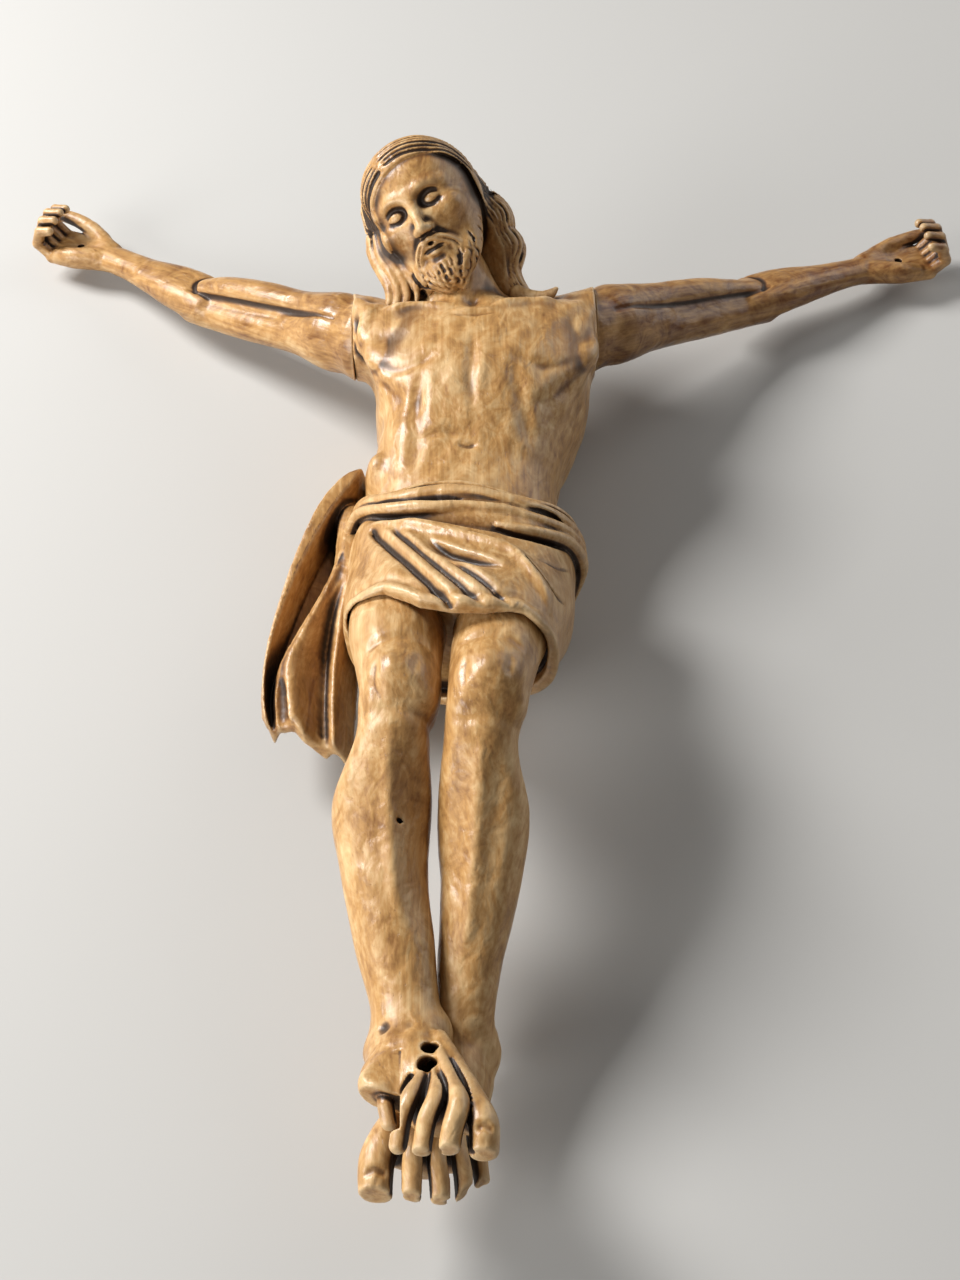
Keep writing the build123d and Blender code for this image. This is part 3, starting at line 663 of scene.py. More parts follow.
def carveLeg(p):
    block = newBlock(p["low"], p["high"], p["cell"])
    lathe(block, p["stations"], legSquareness)
    blobs(block, p["knee"])
    rods(block, p["tendon"], blend=4)
    reliefs(block, p["reliefs"])
    blobs(block, p["ankle"])
    for own, *line in p["foot"]:
        rods(block, line, blend=4, own=own)
    for radius, height, *line in p["notches"]:
        stroke(block, line, radius, height)
    for blend, *line in p["toes"]:
        rods(block, curve(line), blend=blend)
    if "stump" in p:
        breakToe(block, p)
    bentRods(block, p["gaps"], cutting=True, blend=0.5)
    # blunt ends and the nail of the big toe
    cut, x, y, z = window(block, p["low"], (p["high"][0], -200, p["high"][2]))
    cutAway(block, cut, y - edgeOver(x, p["toeEnds"]), blend=0.8)
    stroke(block, p["toeNail"], 0.9, -1.6, 0.2)
    for blend, *line in p["holes"]:
        rods(block, line, cutting=True, blend=blend)
    cut, x, y, z = whole(block)
    cutAway(block, cut, z - legSeat)
    gouge(block, p["seed"], 8, 0.12)
    return meshOf(block, p["name"])


loincloth = dict(
    cell=0.63,
    low=(-46, -68, -2),
    high=(46, 32, 82),
    stations=[
        (15, -36.5, 37.5, -2, 55), (8, -38, 38, -4, 58), (-12, -38.8, 37, -3, 62.5),
        (-34, -38.4, 34.8, 10, 71), (-50, -36.5, 30.5, 24, 76), (-64, -34, 29, 34, 77),
    ],
    hem=[
        (-42, -33), (-39, -37.5), (-35, -43), (-31, -45.4), (-24, -46.2), (-17.8, -51), (-12.9, -55.4),
        (-2.7, -58.6), (7.5, -58.8), (15, -57.8), (18.3, -57.6), (23, -59.8), (27.9, -60.8), (32, -60),
    ],
    # radius, height, base, fade and points of x, y
    bands=[
        # broad recess under the rolled waist and the crisp edge below it
        (3.0, -4.4, 38, 0.2, (-32, 10), (-23, 3.4), (-12, -1.6), (0, -5), (11, -7.6), (18, -9.8), (27, -8),
         (36, -3)),
        (1.5, 1.0, 44, 0.2, (-33, 4), (-21.8, -2.6), (-10.5, -7), (0.5, -11.4), (10.7, -15.4), (16.3, -20)),
        # the ridge that sweeps from the right hip over to the left thigh
        (2.5, 2.4, 44, 0.15, (-25, -2.4), (-10.5, -9.6), (0.5, -15.4), (10.6, -21), (16.8, -25.6),
         (22.7, -37), (26.6, -46), (27.6, -56)),
        # flat slanting bands
        (4.5, 1.0, 45, 0.25, (-31, -10), (-25, -27), (-19, -42)),
        (2.2, 1.4, 45, 0.1, (-25.4, -4), (-22.6, -11), (-13, -34), (-3.6, -51), (3.6, -59)),
        (2.0, 1.2, 45, 0.1, (-20, -8), (-17, -13), (-5, -35.7), (4, -48.6), (11.1, -58)),
        (1.8, 0.8, 45, 0.3, (-3, -29), (7, -42), (15, -51)),
    ],
    # sharp grooves between the bands
    creases=[
        (1.6, -2.6, 45, 0.05, (-29.4, 0), (-26, -10), (-19, -28.3), (-10.5, -46), (-2.1, -60)),
        (1.3, -1.6, 45, 0.1, (-23, -6), (-19.6, -12.6), (-9, -34.6), (0.6, -50.4), (7.4, -59)),
        (1.4, -1.9, 45, 0.15, (-8.6, -23), (1, -39), (8.9, -49.6), (15.4, -58)),
    ],
    # lean first: the pocket under the ridge and a scooped facet on the right
    scoops=[
        (0.6, 2.6, -4.4, 45, 0.45, (-12.4, -13.4), (-4.6, -24), (6.6, -32), (16.4, -37.4)),
        (0.7, 3.0, -1.3, 42, 0.35, (-33.4, -9), (-28.6, -26), (-26, -37)),
    ],
    # points of x, y, z, radius: slits that fan out on the left hip
    slits=[
        [(16.6, -27, 67.4, 0.5), (21.6, -32.6, 67.2, 1.5), (25.7, -38.4, 66, 1.7), (29.4, -41, 62, 1.2),
         (32.6, -39, 55, 0.6)],
        [(15, -9, 61, 0.6), (19.2, -8, 60.4, 1.3), (24.4, -8, 57.6, 1.4), (30.3, -6.4, 52.6, 1.2),
         (36, 1, 42, 0.7)],
        [(25, -25.6, 62, 0.5), (30.9, -23.4, 56.4, 1.2), (35.6, -14, 45, 0.7)],
        [(17, -15.6, 63, 0.6), (24.2, -13.6, 58.8, 1.2), (30.3, -10, 53.6, 1.1), (36.1, -3, 44, 0.6)],
    ],
    # rolled waist of twisted strands, and the dark slots between them
    strands=[
        [(-37, 20, 34, 2.2), (-33, 22, 42, 2.3), (-21, 14, 53, 2.2), (-13.7, 14.4, 55.5, 2.1),
         (-2, 15, 56.3, 2.1), (6.2, 12.5, 56.6, 2.1), (17.8, 9.8, 54, 2.2), (30.3, 10.5, 48, 2.3),
         (36.5, 10, 40, 2.4), (37.4, 9, 28, 2.2), (33, 9, 12, 1.2)],
        [(-38, 18, 34, 2.6), (-32, 18.6, 44, 2.8), (-19.5, 10.6, 54.6, 3.2), (-7, 9.6, 58, 3.4),
         (1.3, 8.2, 58.8, 3.4), (9.4, 6.5, 58.4, 3.3), (21.7, 4.7, 55.2, 3.2), (32.2, 6, 47.6, 3.0),
         (38, 6, 38, 3), (38.6, 6, 26, 2.8), (34, 6, 9, 1.4)],
        [(-39, 14, 34, 2.2), (-34.6, 14.8, 44, 2.3), (-23.5, 6.4, 54.6, 2.3), (-11, 2.9, 58.8, 2.4),
         (1.2, 2.2, 59.4, 2.4), (11.8, 1, 58.8, 2.4), (24, 0, 54.4, 2.5), (34, 1.4, 47, 2.5),
         (39, 2.5, 37, 2.5), (39, 3, 26, 2.2), (34.6, 3, 8, 1.2)],
        [(12, -5.5, 58, 1.4), (18, -6.8, 57.2, 2.0), (27, -5.6, 53, 2.3), (35, -2.6, 46, 2.4),
         (39.4, -1, 36, 2.4), (39.2, 0, 26, 2), (35, 0, 9, 1)],
    ],
    slots=[
        [(-20, 12, 56, 0.6), (-12, 13, 58, 1.3), (-4, 13, 59, 0.6)],
        [(5, 10.6, 60, 0.6), (12, 8.8, 59.4, 1.3), (19, 7.4, 57.4, 0.6)],
        [(-16, 6.4, 59.4, 0.7), (-8, 5.4, 61.6, 1.8), (2.7, 4.6, 62.2, 1.8), (12.5, 2.8, 61, 0.7)],
        [(-30, 13, 48, 0.5), (-25, 10, 54, 1.1), (-19, 7, 57.6, 0.5)],
        [(22, 2.6, 58, 0.5), (29, 3.6, 53, 1.2), (36, 4.4, 43, 0.6)],
    ],
    shellThick=(3.6, 3.8),  # at the sides and back, and at the front
)


def grownBy(stations, side, front):
    return [(s[0], s[1] - side, s[2] + side, s[3] - side, s[4] + front) for s in stations]


def carveLoincloth():
    p = loincloth
    block = newBlock(p["low"], p["high"], p["cell"])
    lathe(block, p["stations"], 2.6, ends=1)
    reliefs(block, p["bands"])
    reliefs(block, p["creases"], sharp=True)
    for lean, *scoop in p["scoops"]:
        reliefs(block, [scoop], lean=lean)
    bentRods(block, p["slits"], cutting=True, blend=0.5)
    # thick lip of the hem
    lip = np.array(p["hem"], float)
    relief(block, lip + (0, 2.2), 1.9, 0.9, 40)
    relief(block, lip + (0, 6), 1.6, -0.7, 40)
    cut, x, y, z = whole(block)
    edge = edgeOver(x, lip)
    cutAway(block, cut, (y - edge) * 0.85, blend=1.0)
    # room for the thighs under the hem
    for leg in (rightLeg, leftLeg):
        thigh = newBlock(p["low"], p["high"], p["cell"])
        lathe(thigh, grownBy(leg["stations"][:4], 0.9, 0.9), legSquareness)
        cutAway(block, cut, np.maximum(thigh["field"], (y - edge - 7) * 0.8), blend=0.6)
    # the cloth is a thick shell where it hangs free
    shell = newBlock(p["low"], p["high"], p["cell"])
    side, front = p["shellThick"]
    lathe(shell, grownBy(p["stations"], -side, -front) + [(-74, -30, 25, 40, 72)], 2.6)
    cutAway(block, cut, np.maximum(shell["field"], (y - edge - 10) * 0.8), blend=0.8)
    bentRods(block, p["strands"], blend=0.4)
    bentRods(block, p["slots"], cutting=True, blend=0.6)
    stroke(block, [(26, 7.6, 53), (33, 8, 47), (38, 8, 40)], 0.8, -0.9)
    cutAway(block, cut, z)
    gouge(block, 23, 8, 0.12)
    return meshOf(block, "loinclothCarving")


loinclothEnd = dict(
    cell=0.45,
    low=(-72, -80, 6),
    high=(-30, 52, 50),
    thick=7.5,
    # by place along the body: outer edge, both sides of the rim, both sides of the channel,
    # ridge, main fold, valley, inner strip and end
    rows={
        47: [(-36.6, 30), (-35.8, 36), (-34.6, 36), (-34.2, 32), (-34, 31), (-33.9, 31), (-33.8, 31),
         (-33.7, 31), (-33.6, 31), (-33, 31)],
        43: [(-41, 30), (-39.6, 38), (-35.4, 38), (-34.4, 31), (-34.2, 30), (-34, 30), (-33.9, 30),
         (-33.8, 30), (-33.6, 30), (-33, 30)],
        38: [(-44.6, 30), (-43, 39), (-37, 39), (-35.4, 30), (-35, 28), (-34.8, 28), (-34.6, 28),
         (-34.4, 28), (-34, 28), (-33, 28)],
        29: [(-49.6, 30), (-48, 39.4), (-41.8, 39), (-40, 28), (-38, 26), (-37, 28), (-36.4, 29),
         (-35.8, 30), (-35.2, 31), (-33.8, 32)],
        16: [(-54.4, 29), (-52.8, 38.6), (-47.8, 38.2), (-46, 26.5), (-41.6, 25), (-39.2, 33), (-38, 34.6),
         (-36.8, 35), (-35.8, 35), (-34, 34)],
        2: [(-58.4, 28), (-56.8, 37.4), (-53, 37), (-51.4, 25), (-44.6, 24), (-41.2, 37), (-40, 38.4),
         (-38.2, 37), (-36.6, 38), (-34, 36)],
        -10: [(-61.2, 27), (-59.8, 36), (-56.8, 35.6), (-55.4, 23.5), (-48.8, 23), (-45.4, 36.8),
         (-43.8, 38.6), (-40.6, 36.4), (-38, 37.6), (-34.2, 35)],
        -20: [(-63.4, 26), (-62, 34.6), (-59.6, 34.2), (-58.2, 22.6), (-52.8, 22.4), (-49.4, 36.4),
         (-47.6, 38.2), (-43, 33), (-39.8, 36), (-34.4, 31)],
        -32: [(-65.4, 25), (-64, 33), (-62.4, 32.6), (-61.2, 22), (-58, 22), (-54.8, 35.2), (-52.4, 37),
         (-44.7, 28.4), (-41.2, 32.6), (-35.2, 21)],
        -42: [(-66.2, 24), (-65, 31.8), (-63.8, 31.4), (-62.8, 22.5), (-61.8, 23), (-59, 33.4), (-56, 35.4),
         (-44.9, 26.6), (-42, 31), (-35.8, 18)],
        -52: [(-66, 23), (-64.8, 30.4), (-63.8, 30), (-63, 23.4), (-62.2, 24), (-59.4, 31.4), (-55.4, 33.2),
         (-45, 24.8), (-42.2, 29), (-36.2, 17)],
        -64: [(-64.6, 21.5), (-63.2, 28.6), (-62.2, 28), (-61.4, 23), (-60.6, 23.4), (-58, 29.4), (-54, 31),
         (-44.6, 23), (-41.8, 26.6), (-36.4, 17)],
        -78: [(-62.6, 20), (-61.2, 26.6), (-60.4, 26), (-59.6, 21), (-59, 21.4), (-56.4, 27.4),
         (-52.6, 28.8), (-43.8, 21.4), (-41.2, 24.6), (-36.4, 16)],
    },
    foot=[(-68, -55), (-65, -57.5), (-62, -62), (-58, -62.5), (-54, -63.5), (-51, -66.5), (-47, -67),
     (-44, -68), (-37, -69.5), (-30, -69.5)],
    arch=[(-59.2, -48.6, 33.4, 1.8), (-58.9, -53, 31.8, 2.6), (-58.7, -60, 30, 3.1), (-58.4, -74, 27.6, 3.5)],
)


def carveLoinclothEnd():
    p = loinclothEnd
    block = newBlock(p["low"], p["high"], p["cell"])
    folds(block, p["rows"], p["thick"])
    # the stub that is pegged to the hip
    for x in (-39.4, -37.4):
        stub = [(x + 0.6, 31, 29.5, 2.2), (x, 25, 32.4, 3.2), (x, 14, 33, 3.4),
                (x, 5, 33.2, 3.5), (x - 1, -6, 33.6, 3)]
        rods(block, curve(stub), blend=3)
    # hollow under the arched end of the second fold
    rods(block, p["arch"], cutting=True, blend=0.6)
    stroke(block, [(-46, -2, 26), (-53, -22, 25), (-58, -34, 24)], 1.2, 0.9)
    stroke(block, [(-40.4, 4, 39), (-41.2, -7, 39), (-43, -17, 38)], 1.0, -1.4)
    cut, x, y, z = whole(block)
    cutAway(block, cut, (y - edgeOver(x, p["foot"])) * 0.85, blend=2.6)
    hip = np.interp(y.ravel(), (24, 30), (-34.6, -33.4)).astype(np.float32)[None, :, None]
    cutAway(block, cut, hip - x, blend=0.5)
    gouge(block, 29, 5, 0.18)
    return meshOf(block, "loinclothEndCarving")


def unit(v):
    v = np.array(v, float)
    return v / np.linalg.norm(v)


def limbPoints(start, end, rows):
    # rows of place along, across towards the head, out of the chest and radius, put in the room
    start = np.array(start, float)
    run = unit(np.array(end, float) - start)
    across = unit(np.cross((0, 0, 1), run))
    across = across * np.sign(across[1])
    lift = np.cross(run, across)
    lift = lift * np.sign(lift[2])
    r = np.array(rows, float)
    place = start + r[:, :1] * run + r[:, 1:2] * across + r[:, 2:3] * lift
    return np.hstack([place, r[:, 3:]])


arm = dict(
    # blend, then place along, across towards the head, out of the chest and radius
    forearm=[
        (3, (-2, 0, 0, 7), (21, 0, 1.2, 6), (43, 0, 0.8, 4.5), (61, 0, 0.3, 4.3), (68, 0, 0, 4)),
        (1.8, (-14, 4.5, 0, 4.2), (2, 5.6, 0.8, 5.6), (17, 4.6, 1.4, 5.5), (34, 2.9, 1, 4.3),
         (54, 2.4, 0.4, 3.6)),
        (1.8, (-4, -4.2, 0.4, 6), (11, -4.2, 1.3, 6.2), (28, -3.1, 1.1, 5.2), (46, -2.5, 0.6, 4.1),
         (61, -3, 0, 4)),
    ],
    # share of the arm's own groove, softness and points: between the muscles and in the elbow
    grooves=[
        (1, 2.0, (2, -6.4, 11), (20, -5, 9), (38, -4, 7), (58, -3.2, 6.4), (76, -3, 5.6), (86, -4, 4)),
        (0.8, 1.8, (83, 8, 3), (86, 4, 6), (85.4, 0, 6.6), (82, -3.4, 5.6)),
    ],
    fingers=(6.9, 2.3, -2.3, -6.9),  # places across the palm
    fingerSizes=(0.97, 1.05, 1.0, 0.85),
    bones=(9.4, 7.6, 5.6),
    heel=[(1, -4.6, 1.2, 4), (11, -6.6, 1.8, 4.2), (18, -7.2, 1.2, 3.2)],
    nailRadius=1.4,
)
rightArm = dict(
    name="rightArmCarving", cell=0.45, seed=31, low=(-186, 92, -1), high=(-38, 241, 60),
    shoulder=(-39, 115, 40), elbow=(-102, 165, 18), wrist=(-147, 206, 11), knuckles=(-169, 215.5, 9.5),
    root=[(-34, 111, 40, 15.4), (-47, 120.5, 36.5, 11.6), (-61, 132, 31, 7)],
    biceps=[(8, 2.4, 3, 11), (28, 3.2, 4, 7.2), (50, 3.2, 4.6, 7.2), (70, 2.6, 4.4, 6.6),
     (80, 2, 3.8, 5.4)],
    triceps=[(8, -4, -2, 10.4), (30, -4.6, -2.6, 6.8), (54, -4.4, -2.8, 6.2), (75, -3.6, -2.4, 6),
     (87, -3, -2, 6)],
    thumb=[(6, 7.5, 1.5, 3.6), (13, 11.5, 2.5, 3.3), (21, 14.6, 3.2, 3.0), (29, 15, 4.2, 2.6),
     (34.5, 12.6, 5, 2.2)],
    groove=1.0, nail=(-158, 210.75), seam=1,
)
leftArm = dict(
    name="leftArmCarving", cell=0.45, seed=37, low=(49, 94, -1), high=(210, 218, 60),
    shoulder=(50, 117, 40), elbow=(116, 159.5, 17.5), wrist=(167, 187, 11), knuckles=(192.5, 193, 9.5),
    root=[(45, 114, 40, 15.4), (58, 121.5, 37.5, 12.4), (72, 131, 33, 8.4)],
    biceps=[(8, 2, 3.2, 11.2), (30, 3, 3.6, 8.2), (52, 3, 3.8, 7.4), (68, 2.4, 3, 6.2),
     (79, 1.6, 2.4, 5.4)],
    triceps=[(8, -4, -2, 10.6), (30, -4.4, -2.4, 7.6), (54, -4.2, -2.6, 6.6), (75, -3.4, -2.2, 6.2),
     (86, -3.4, -2, 6)],
    thumb=[(6, 6.5, 1.5, 3.6), (14, 9.8, 2.5, 3.3), (22, 11.9, 3.4, 3.0), (29, 12.3, 4.2, 2.6),
     (34, 10.4, 5, 2.2)],
    groove=0.7, nail=(179.75, 190), seam=-1,
)


def carveFinger(block, palm, reach, i):
    # three bones curled back over the palm
    across = arm["fingers"][i]
    run, lift = reach - 2.3, 0.0
    rows = [(run, across, lift, 2.45)]
    for bone, angle, radius in zip(arm["bones"], np.radians((48 - 3 * i, 112, 166)), (2.4, 2.2, 1.9)):
        bone = bone * arm["fingerSizes"][i]
        run += bone * math.cos(angle)
        lift += bone * math.sin(angle)
        rows.append((run, across * (1 - 0.03 * len(rows)), lift, radius))
    rods(block, limbPoints(*palm, rows), blend=0.4, own=0.4)


def carveArm(p):
    block = newBlock(p["low"], p["high"], p["cell"])
    upper = (p["shoulder"], p["elbow"])
    fore = (p["elbow"], p["wrist"])
    palm = (p["wrist"], p["knuckles"])
    rods(block, p["root"], own=4)
    rods(block, curve(limbPoints(*upper, p["triceps"])), blend=4)
    rods(block, curve(limbPoints(*upper, p["biceps"])), blend=2.2)
    for blend, *line in arm["forearm"]:
        rods(block, curve(limbPoints(*fore, line)), blend=blend)
    for share, soft, *line in arm["grooves"]:
        line = faded(laid(block, curve(limbPoints(*upper, line))), 1.0, 1.0, 0.2)
        line = np.column_stack([line[:, :3], share * p["groove"] * line[:, 4]])
        rods(block, line, cutting=True, blend=soft)
    # palm, heel of the hand and thumb
    reach = np.linalg.norm(np.array(p["knuckles"]) - np.array(p["wrist"]))
    for c in arm["fingers"]:
        bone = [(-2, c * 0.5, 0, 3.6), (12, c * 0.85, -0.4, 3.5), (reach - 2, c, 0, 3.0)]
        rods(block, limbPoints(*palm, bone), blend=1.6)
    rods(block, curve(limbPoints(*palm, arm["heel"])), blend=1.5)
    rods(block, curve(limbPoints(*palm, [(1, 3.5, 1, 4.2), *p["thumb"][:2]])), blend=1.6)
    rods(block, curve(limbPoints(*palm, p["thumb"])), blend=1.0)
    hollow = limbPoints(*palm, [(13, 1, 7, 0)])[0][:3]
    blob(block, hollow, (6.5, 6.5, 4.4), blend=1.4, cutting=True)
    for i in range(len(arm["fingers"])):
        carveFinger(block, palm, reach, i)
    rods(block, [(*p["nail"], 40, arm["nailRadius"]), (*p["nail"], -5, arm["nailRadius"])], cutting=True)
    cut, x, y, z = whole(block)
    edge = p["shoulder"][0] - 0.05 * p["seam"]
    cutAway(block, cut, (edge - x) * p["seam"])
    gouge(block, p["seed"], 8, 0.12)
    run = unit(np.array(p["wrist"], float) - np.array(p["shoulder"], float))
    across = unit(np.cross((0, 0, 1), run))
    return meshOf(block, p["name"], grain=(across, run, np.cross(across, run)))


head = dict(
    cell=0.47, low=(-36, -58, -34), high=(35, 31, 30),
    middle=(-12, 146, 73), up=(-0.454, 0.663, 0.596), face=(-0.23, -0.73, 0.64),
    turn=15,  # how far the face looks to the figure's right
    skull=((1.2, 3.6, -3.4), (20, 22.4, 23)),
    hairline=(1, 2, 19.4, 14.2),  # middle across and up, half width and height, as seen from the front
    hairThick=2.0,
)
# hair as seen from the front: across, up and forward
# each family runs from its front strand over the middle to its back
crownHair = dict(
    counts=(9, 10),
    front=[
        (-7.6, 15.6, 15.4), (0.4, 16.6, 17.2), (8.4, 14.6, 16), (14.4, 11, 11.6), (17.8, 6.4, 7),
        (19.6, 0, 2.5), (20.4, -7, 1), (20.6, -14.5, 2), (19.8, -21.8, 2), (19, -27, 2), (16.5, -33.7, 2),
        (14.8, -38.7, 2), (15, -45, 2.5),
    ],
    middle=[
        (-6.5, 24, -1), (4.3, 27.6, -2), (12.6, 25.6, -2), (19.4, 20, -2.5), (24, 11.5, -3),
        (24.6, 3, -3.5), (24.6, -4, -4), (29.2, -12.7, -5), (26.6, -18.8, -5), (26.8, -26.2, -5),
        (20.6, -33, -4), (20.4, -42, -3), (23, -49, -1),
    ],
    back=[
        (-4, 20, -22), (2, 22, -22), (9, 20, -23), (15, 15, -22), (19, 7, -21), (21, -1, -20),
        (21, -8, -18), (22, -15, -17), (20, -21, -16), (20, -27, -15), (17, -33, -14), (15, -40, -12),
        (15, -46, -10),
    ],
)
templeHair = dict(
    counts=(7, 7),
    front=[
        (-7.6, 15.6, 15.4), (-12.4, 12.8, 13), (-16.2, 9, 9.6), (-18.4, 5, 5.8), (-19, 1, 3.5),
        (-19.6, -3, 3.5), (-20.6, -9, 4), (-20.9, -14, 5), (-21.4, -20, 7), (-23, -24.4, 8.6),
        (-27, -28.6, 9.6),
    ],
    middle=[
        (-6.5, 24, 1), (-14, 20.8, 0), (-18.4, 16.4, -2), (-20.4, 11, -2), (-21.4, 6, -1), (-24, -0.6, 1),
        (-26.8, -7, 2), (-25.8, -12, 3), (-25, -18, 5), (-27, -24, 7), (-32.5, -29, 8.5),
    ],
    back=[
        (-5, 21, -19), (-13, 18, -18), (-17, 13, -19), (-19, 7, -18.5), (-20, 1, -17), (-21, -4, -15),
        (-22, -10, -13), (-22, -16, -10), (-23, -20, -7), (-25, -24, -4), (-29, -28, 1),
    ],
)
napeHair = dict(
    counts=(7, 7),
    front=[
        (-12, 20, -18), (-17, 9, -20), (-19, -4, -19), (-17, -15, -16), (-13, -26, -11), (-8, -34, -8),
    ],
    middle=[
        (-2, 19, -23), (-1, 8, -28), (1, -5, -27), (4, -17, -24), (7, -29, -19), (9, -38, -15),
    ],
    back=[
        (9, 17, -21), (16, 6, -22), (19, -6, -20), (20, -18, -18), (19, -30, -15), (18, -40, -12),
    ],
)
hairMasses = [
    [(15, 12, -6, 6), (17, 6, -8, 6.4), (19.6, -4, -8, 7), (22, -13, -7.5, 7.6), (20.4, -19.5, -7.5, 6.8),
     (21, -26, -7, 7), (16.8, -33, -6, 5.6), (15.6, -40, -5, 5.4), (17.5, -47, -3, 4.2), (20, -50, -1, 3)],
    [(-16, 10, -7, 5.6), (-18, 1, -5, 6), (-21, -6, -3, 6.2), (-20.8, -13, 0, 5.2), (-21, -19, 3, 3.6)],
    [(-1, 6, -19, 7), (2, -8, -19, 8), (5, -20, -17, 8), (8, -32, -13, 7.5), (10, -42, -10, 6)],
    [(-13, -4, -12, 6), (-13, -16, -8, 6.5), (-13, -26, -4, 6.5), (-13, -34, -1, 5.5)],
    [(-18, -6, -10, 6), (-19, -16, -7, 6), (-20, -26, -5, 6)],
    [(13, -6, -14, 6.5), (14, -20, -12, 6.5), (13, -34, -9, 6)],
]
# the flat pointed end of the right lock and the small curl on the left shoulder
hairTips = [
    [(-22.5, 0, -2, 1.4), (-25, -7, 0.5, 2.2), (-25, -13, 2.6, 2.4), (-25.4, -20, 6, 2.2),
     (-28, -25.5, 8, 1.7), (-32.6, -29, 9, 0.6)],
    [(-20.6, 0, 0, 1.4), (-22.4, -7, 2, 2.2), (-22.4, -13, 4, 2.4), (-22.6, -20.5, 7, 2.2),
     (-25, -26, 8.6, 1.7), (-30.6, -29.8, 9.4, 0.6)],
    [(-18.6, 0, 1.5, 1.4), (-20.2, -7, 3, 2.0), (-20, -13, 4.8, 2.2), (-19.8, -21, 7.4, 2.1),
     (-21.4, -26.6, 9, 1.6), (-26, -30.4, 9.6, 0.6)],
    [(-17.6, -4, 2, 1.2), (-18.4, -11, 4.4, 1.8), (-17, -20, 7.4, 1.9), (-17.4, -26.4, 9, 1.4),
     (-20, -31, 9.6, 0.5)],
    [(-17, -10, 2, 1.2), (-15.8, -16, 5, 1.7), (-14.4, -22, 6.6, 1.7), (-13.6, -27, 7.4, 1.3),
     (-14, -32, 8, 0.5)],
    [(16, -43, 0, 2.8), (19, -47, 2.4, 2.8), (22.5, -49.4, 4.2, 2.4), (26, -50, 5.4, 1.8),
     (28.6, -49.4, 6, 0.8)],
    [(14.6, -44, 0.6, 2.2), (16.6, -48.6, 3, 2.0), (19, -51, 4.4, 1.2), (21, -52, 5, 0.6)],
]


def headAxes():
    up = unit(head["up"])
    left = unit(np.cross(up, head["face"]))
    return np.array([left, up, np.cross(left, up)])


def turned(points):
    # points as seen from the front, in the axes of the turned head
    p = np.array(points, float)
    t = math.radians(head["turn"])
    across, forward = p[:, 0].copy(), p[:, 2].copy()
    p[:, 0] = across * math.cos(t) + forward * math.sin(t)
    p[:, 2] = forward * math.cos(t) - across * math.sin(t)
    return p


def carveFace(block):
    blob(block, *head["skull"])
    blob(block, (0, -7, 5.5), (15.2, 19, 14.8), blend=6)
    blob(block, (0, 9, 5), (16.5, 14, 14.5), blend=5)
    blob(block, (0, -23, 14), (6.5, 5.2, 6), blend=5)
    rods(block, [(-13, -10, 4, 5), (-8, -21.5, 11, 4.5), (8, -21.5, 11, 4.5), (13, -10, 4, 5)], blend=4)
    for s in (-1, 1):
        blob(block, (s * 11, -5.5, 12.8), (5, 4.6, 5.2), blend=4)
        brow = [(s * 2.4, 3.4, 19.2, 2.0), (s * 7, 4.7, 18.4, 2.0), (s * 12.4, 3.2, 14.2, 2.0)]
        rods(block, curve(brow), blend=3)
        blob(block, (s * 7.3, -0.8, 21.5), (5.4, 3.7, 5.0), blend=2.2, cutting=True)
        blob(block, (s * 7.3, -1.0, 15.4), (4.2, 3.6, 3.9), blend=1.0)
        stroke(block, [(s * 3.4, -1.8, 17.6), (s * 7.3, -3.2, 19.2), (s * 11, -1.7, 16.8)], 0.55, -0.75)
        stroke(block, [(s * 3.6, 0.2, 17.8), (s * 7.3, 1.7, 18.8), (s * 11, 0.2, 16.6)], 0.6, -0.5)
        stroke(block, [(s * 3.6, -2.6, 17.8), (s * 7.3, -4.0, 19), (s * 10.6, -2.8, 17)], 0.7, 0.3)
        stroke(block, [(s * 3.6, -11.6, 20.6), (s * 6.2, -15, 19.4), (s * 7.2, -18.5, 18)], 1.3, -0.6)
    # nose
    bridge = [(0, 4, 18.8, 1.9), (0, 0, 20.4, 1.7), (0, -5, 22.2, 1.7), (0, -9.6, 23.8, 1.9)]
    rods(block, curve(bridge), blend=2.4)
    for s in (-1, 1):
        blob(block, (s * 2.0, -10.3, 21.6), (1.5, 1.4, 1.9), blend=2.2)
        blob(block, (s * 1.2, -12.2, 22.5), (0.6, 0.5, 0.9), blend=0.4, cutting=True)
    # lips
    upperLip = [(-4.8, -17.5, 18.4, 0.5), (-1.6, -16.7, 20.0, 0.9), (0, -17.0, 20.2, 0.8),
                (1.6, -16.7, 20.0, 0.9), (4.8, -17.5, 18.4, 0.5)]
    lowerLip = [(-4.0, -18.5, 18.4, 0.6), (0, -19.0, 19.8, 1.15), (4.0, -18.5, 18.4, 0.6)]
    bentRods(block, (upperLip, lowerLip), blend=1.2)
    stroke(block, [(-5.6, -17.7, 19), (0, -17.9, 21.6), (5.6, -17.7, 19)], 0.5, -1.0)
    stroke(block, [(-3, -21.4, 19.6), (0, -21.8, 20), (3, -21.4, 19.6)], 1.2, -0.6)


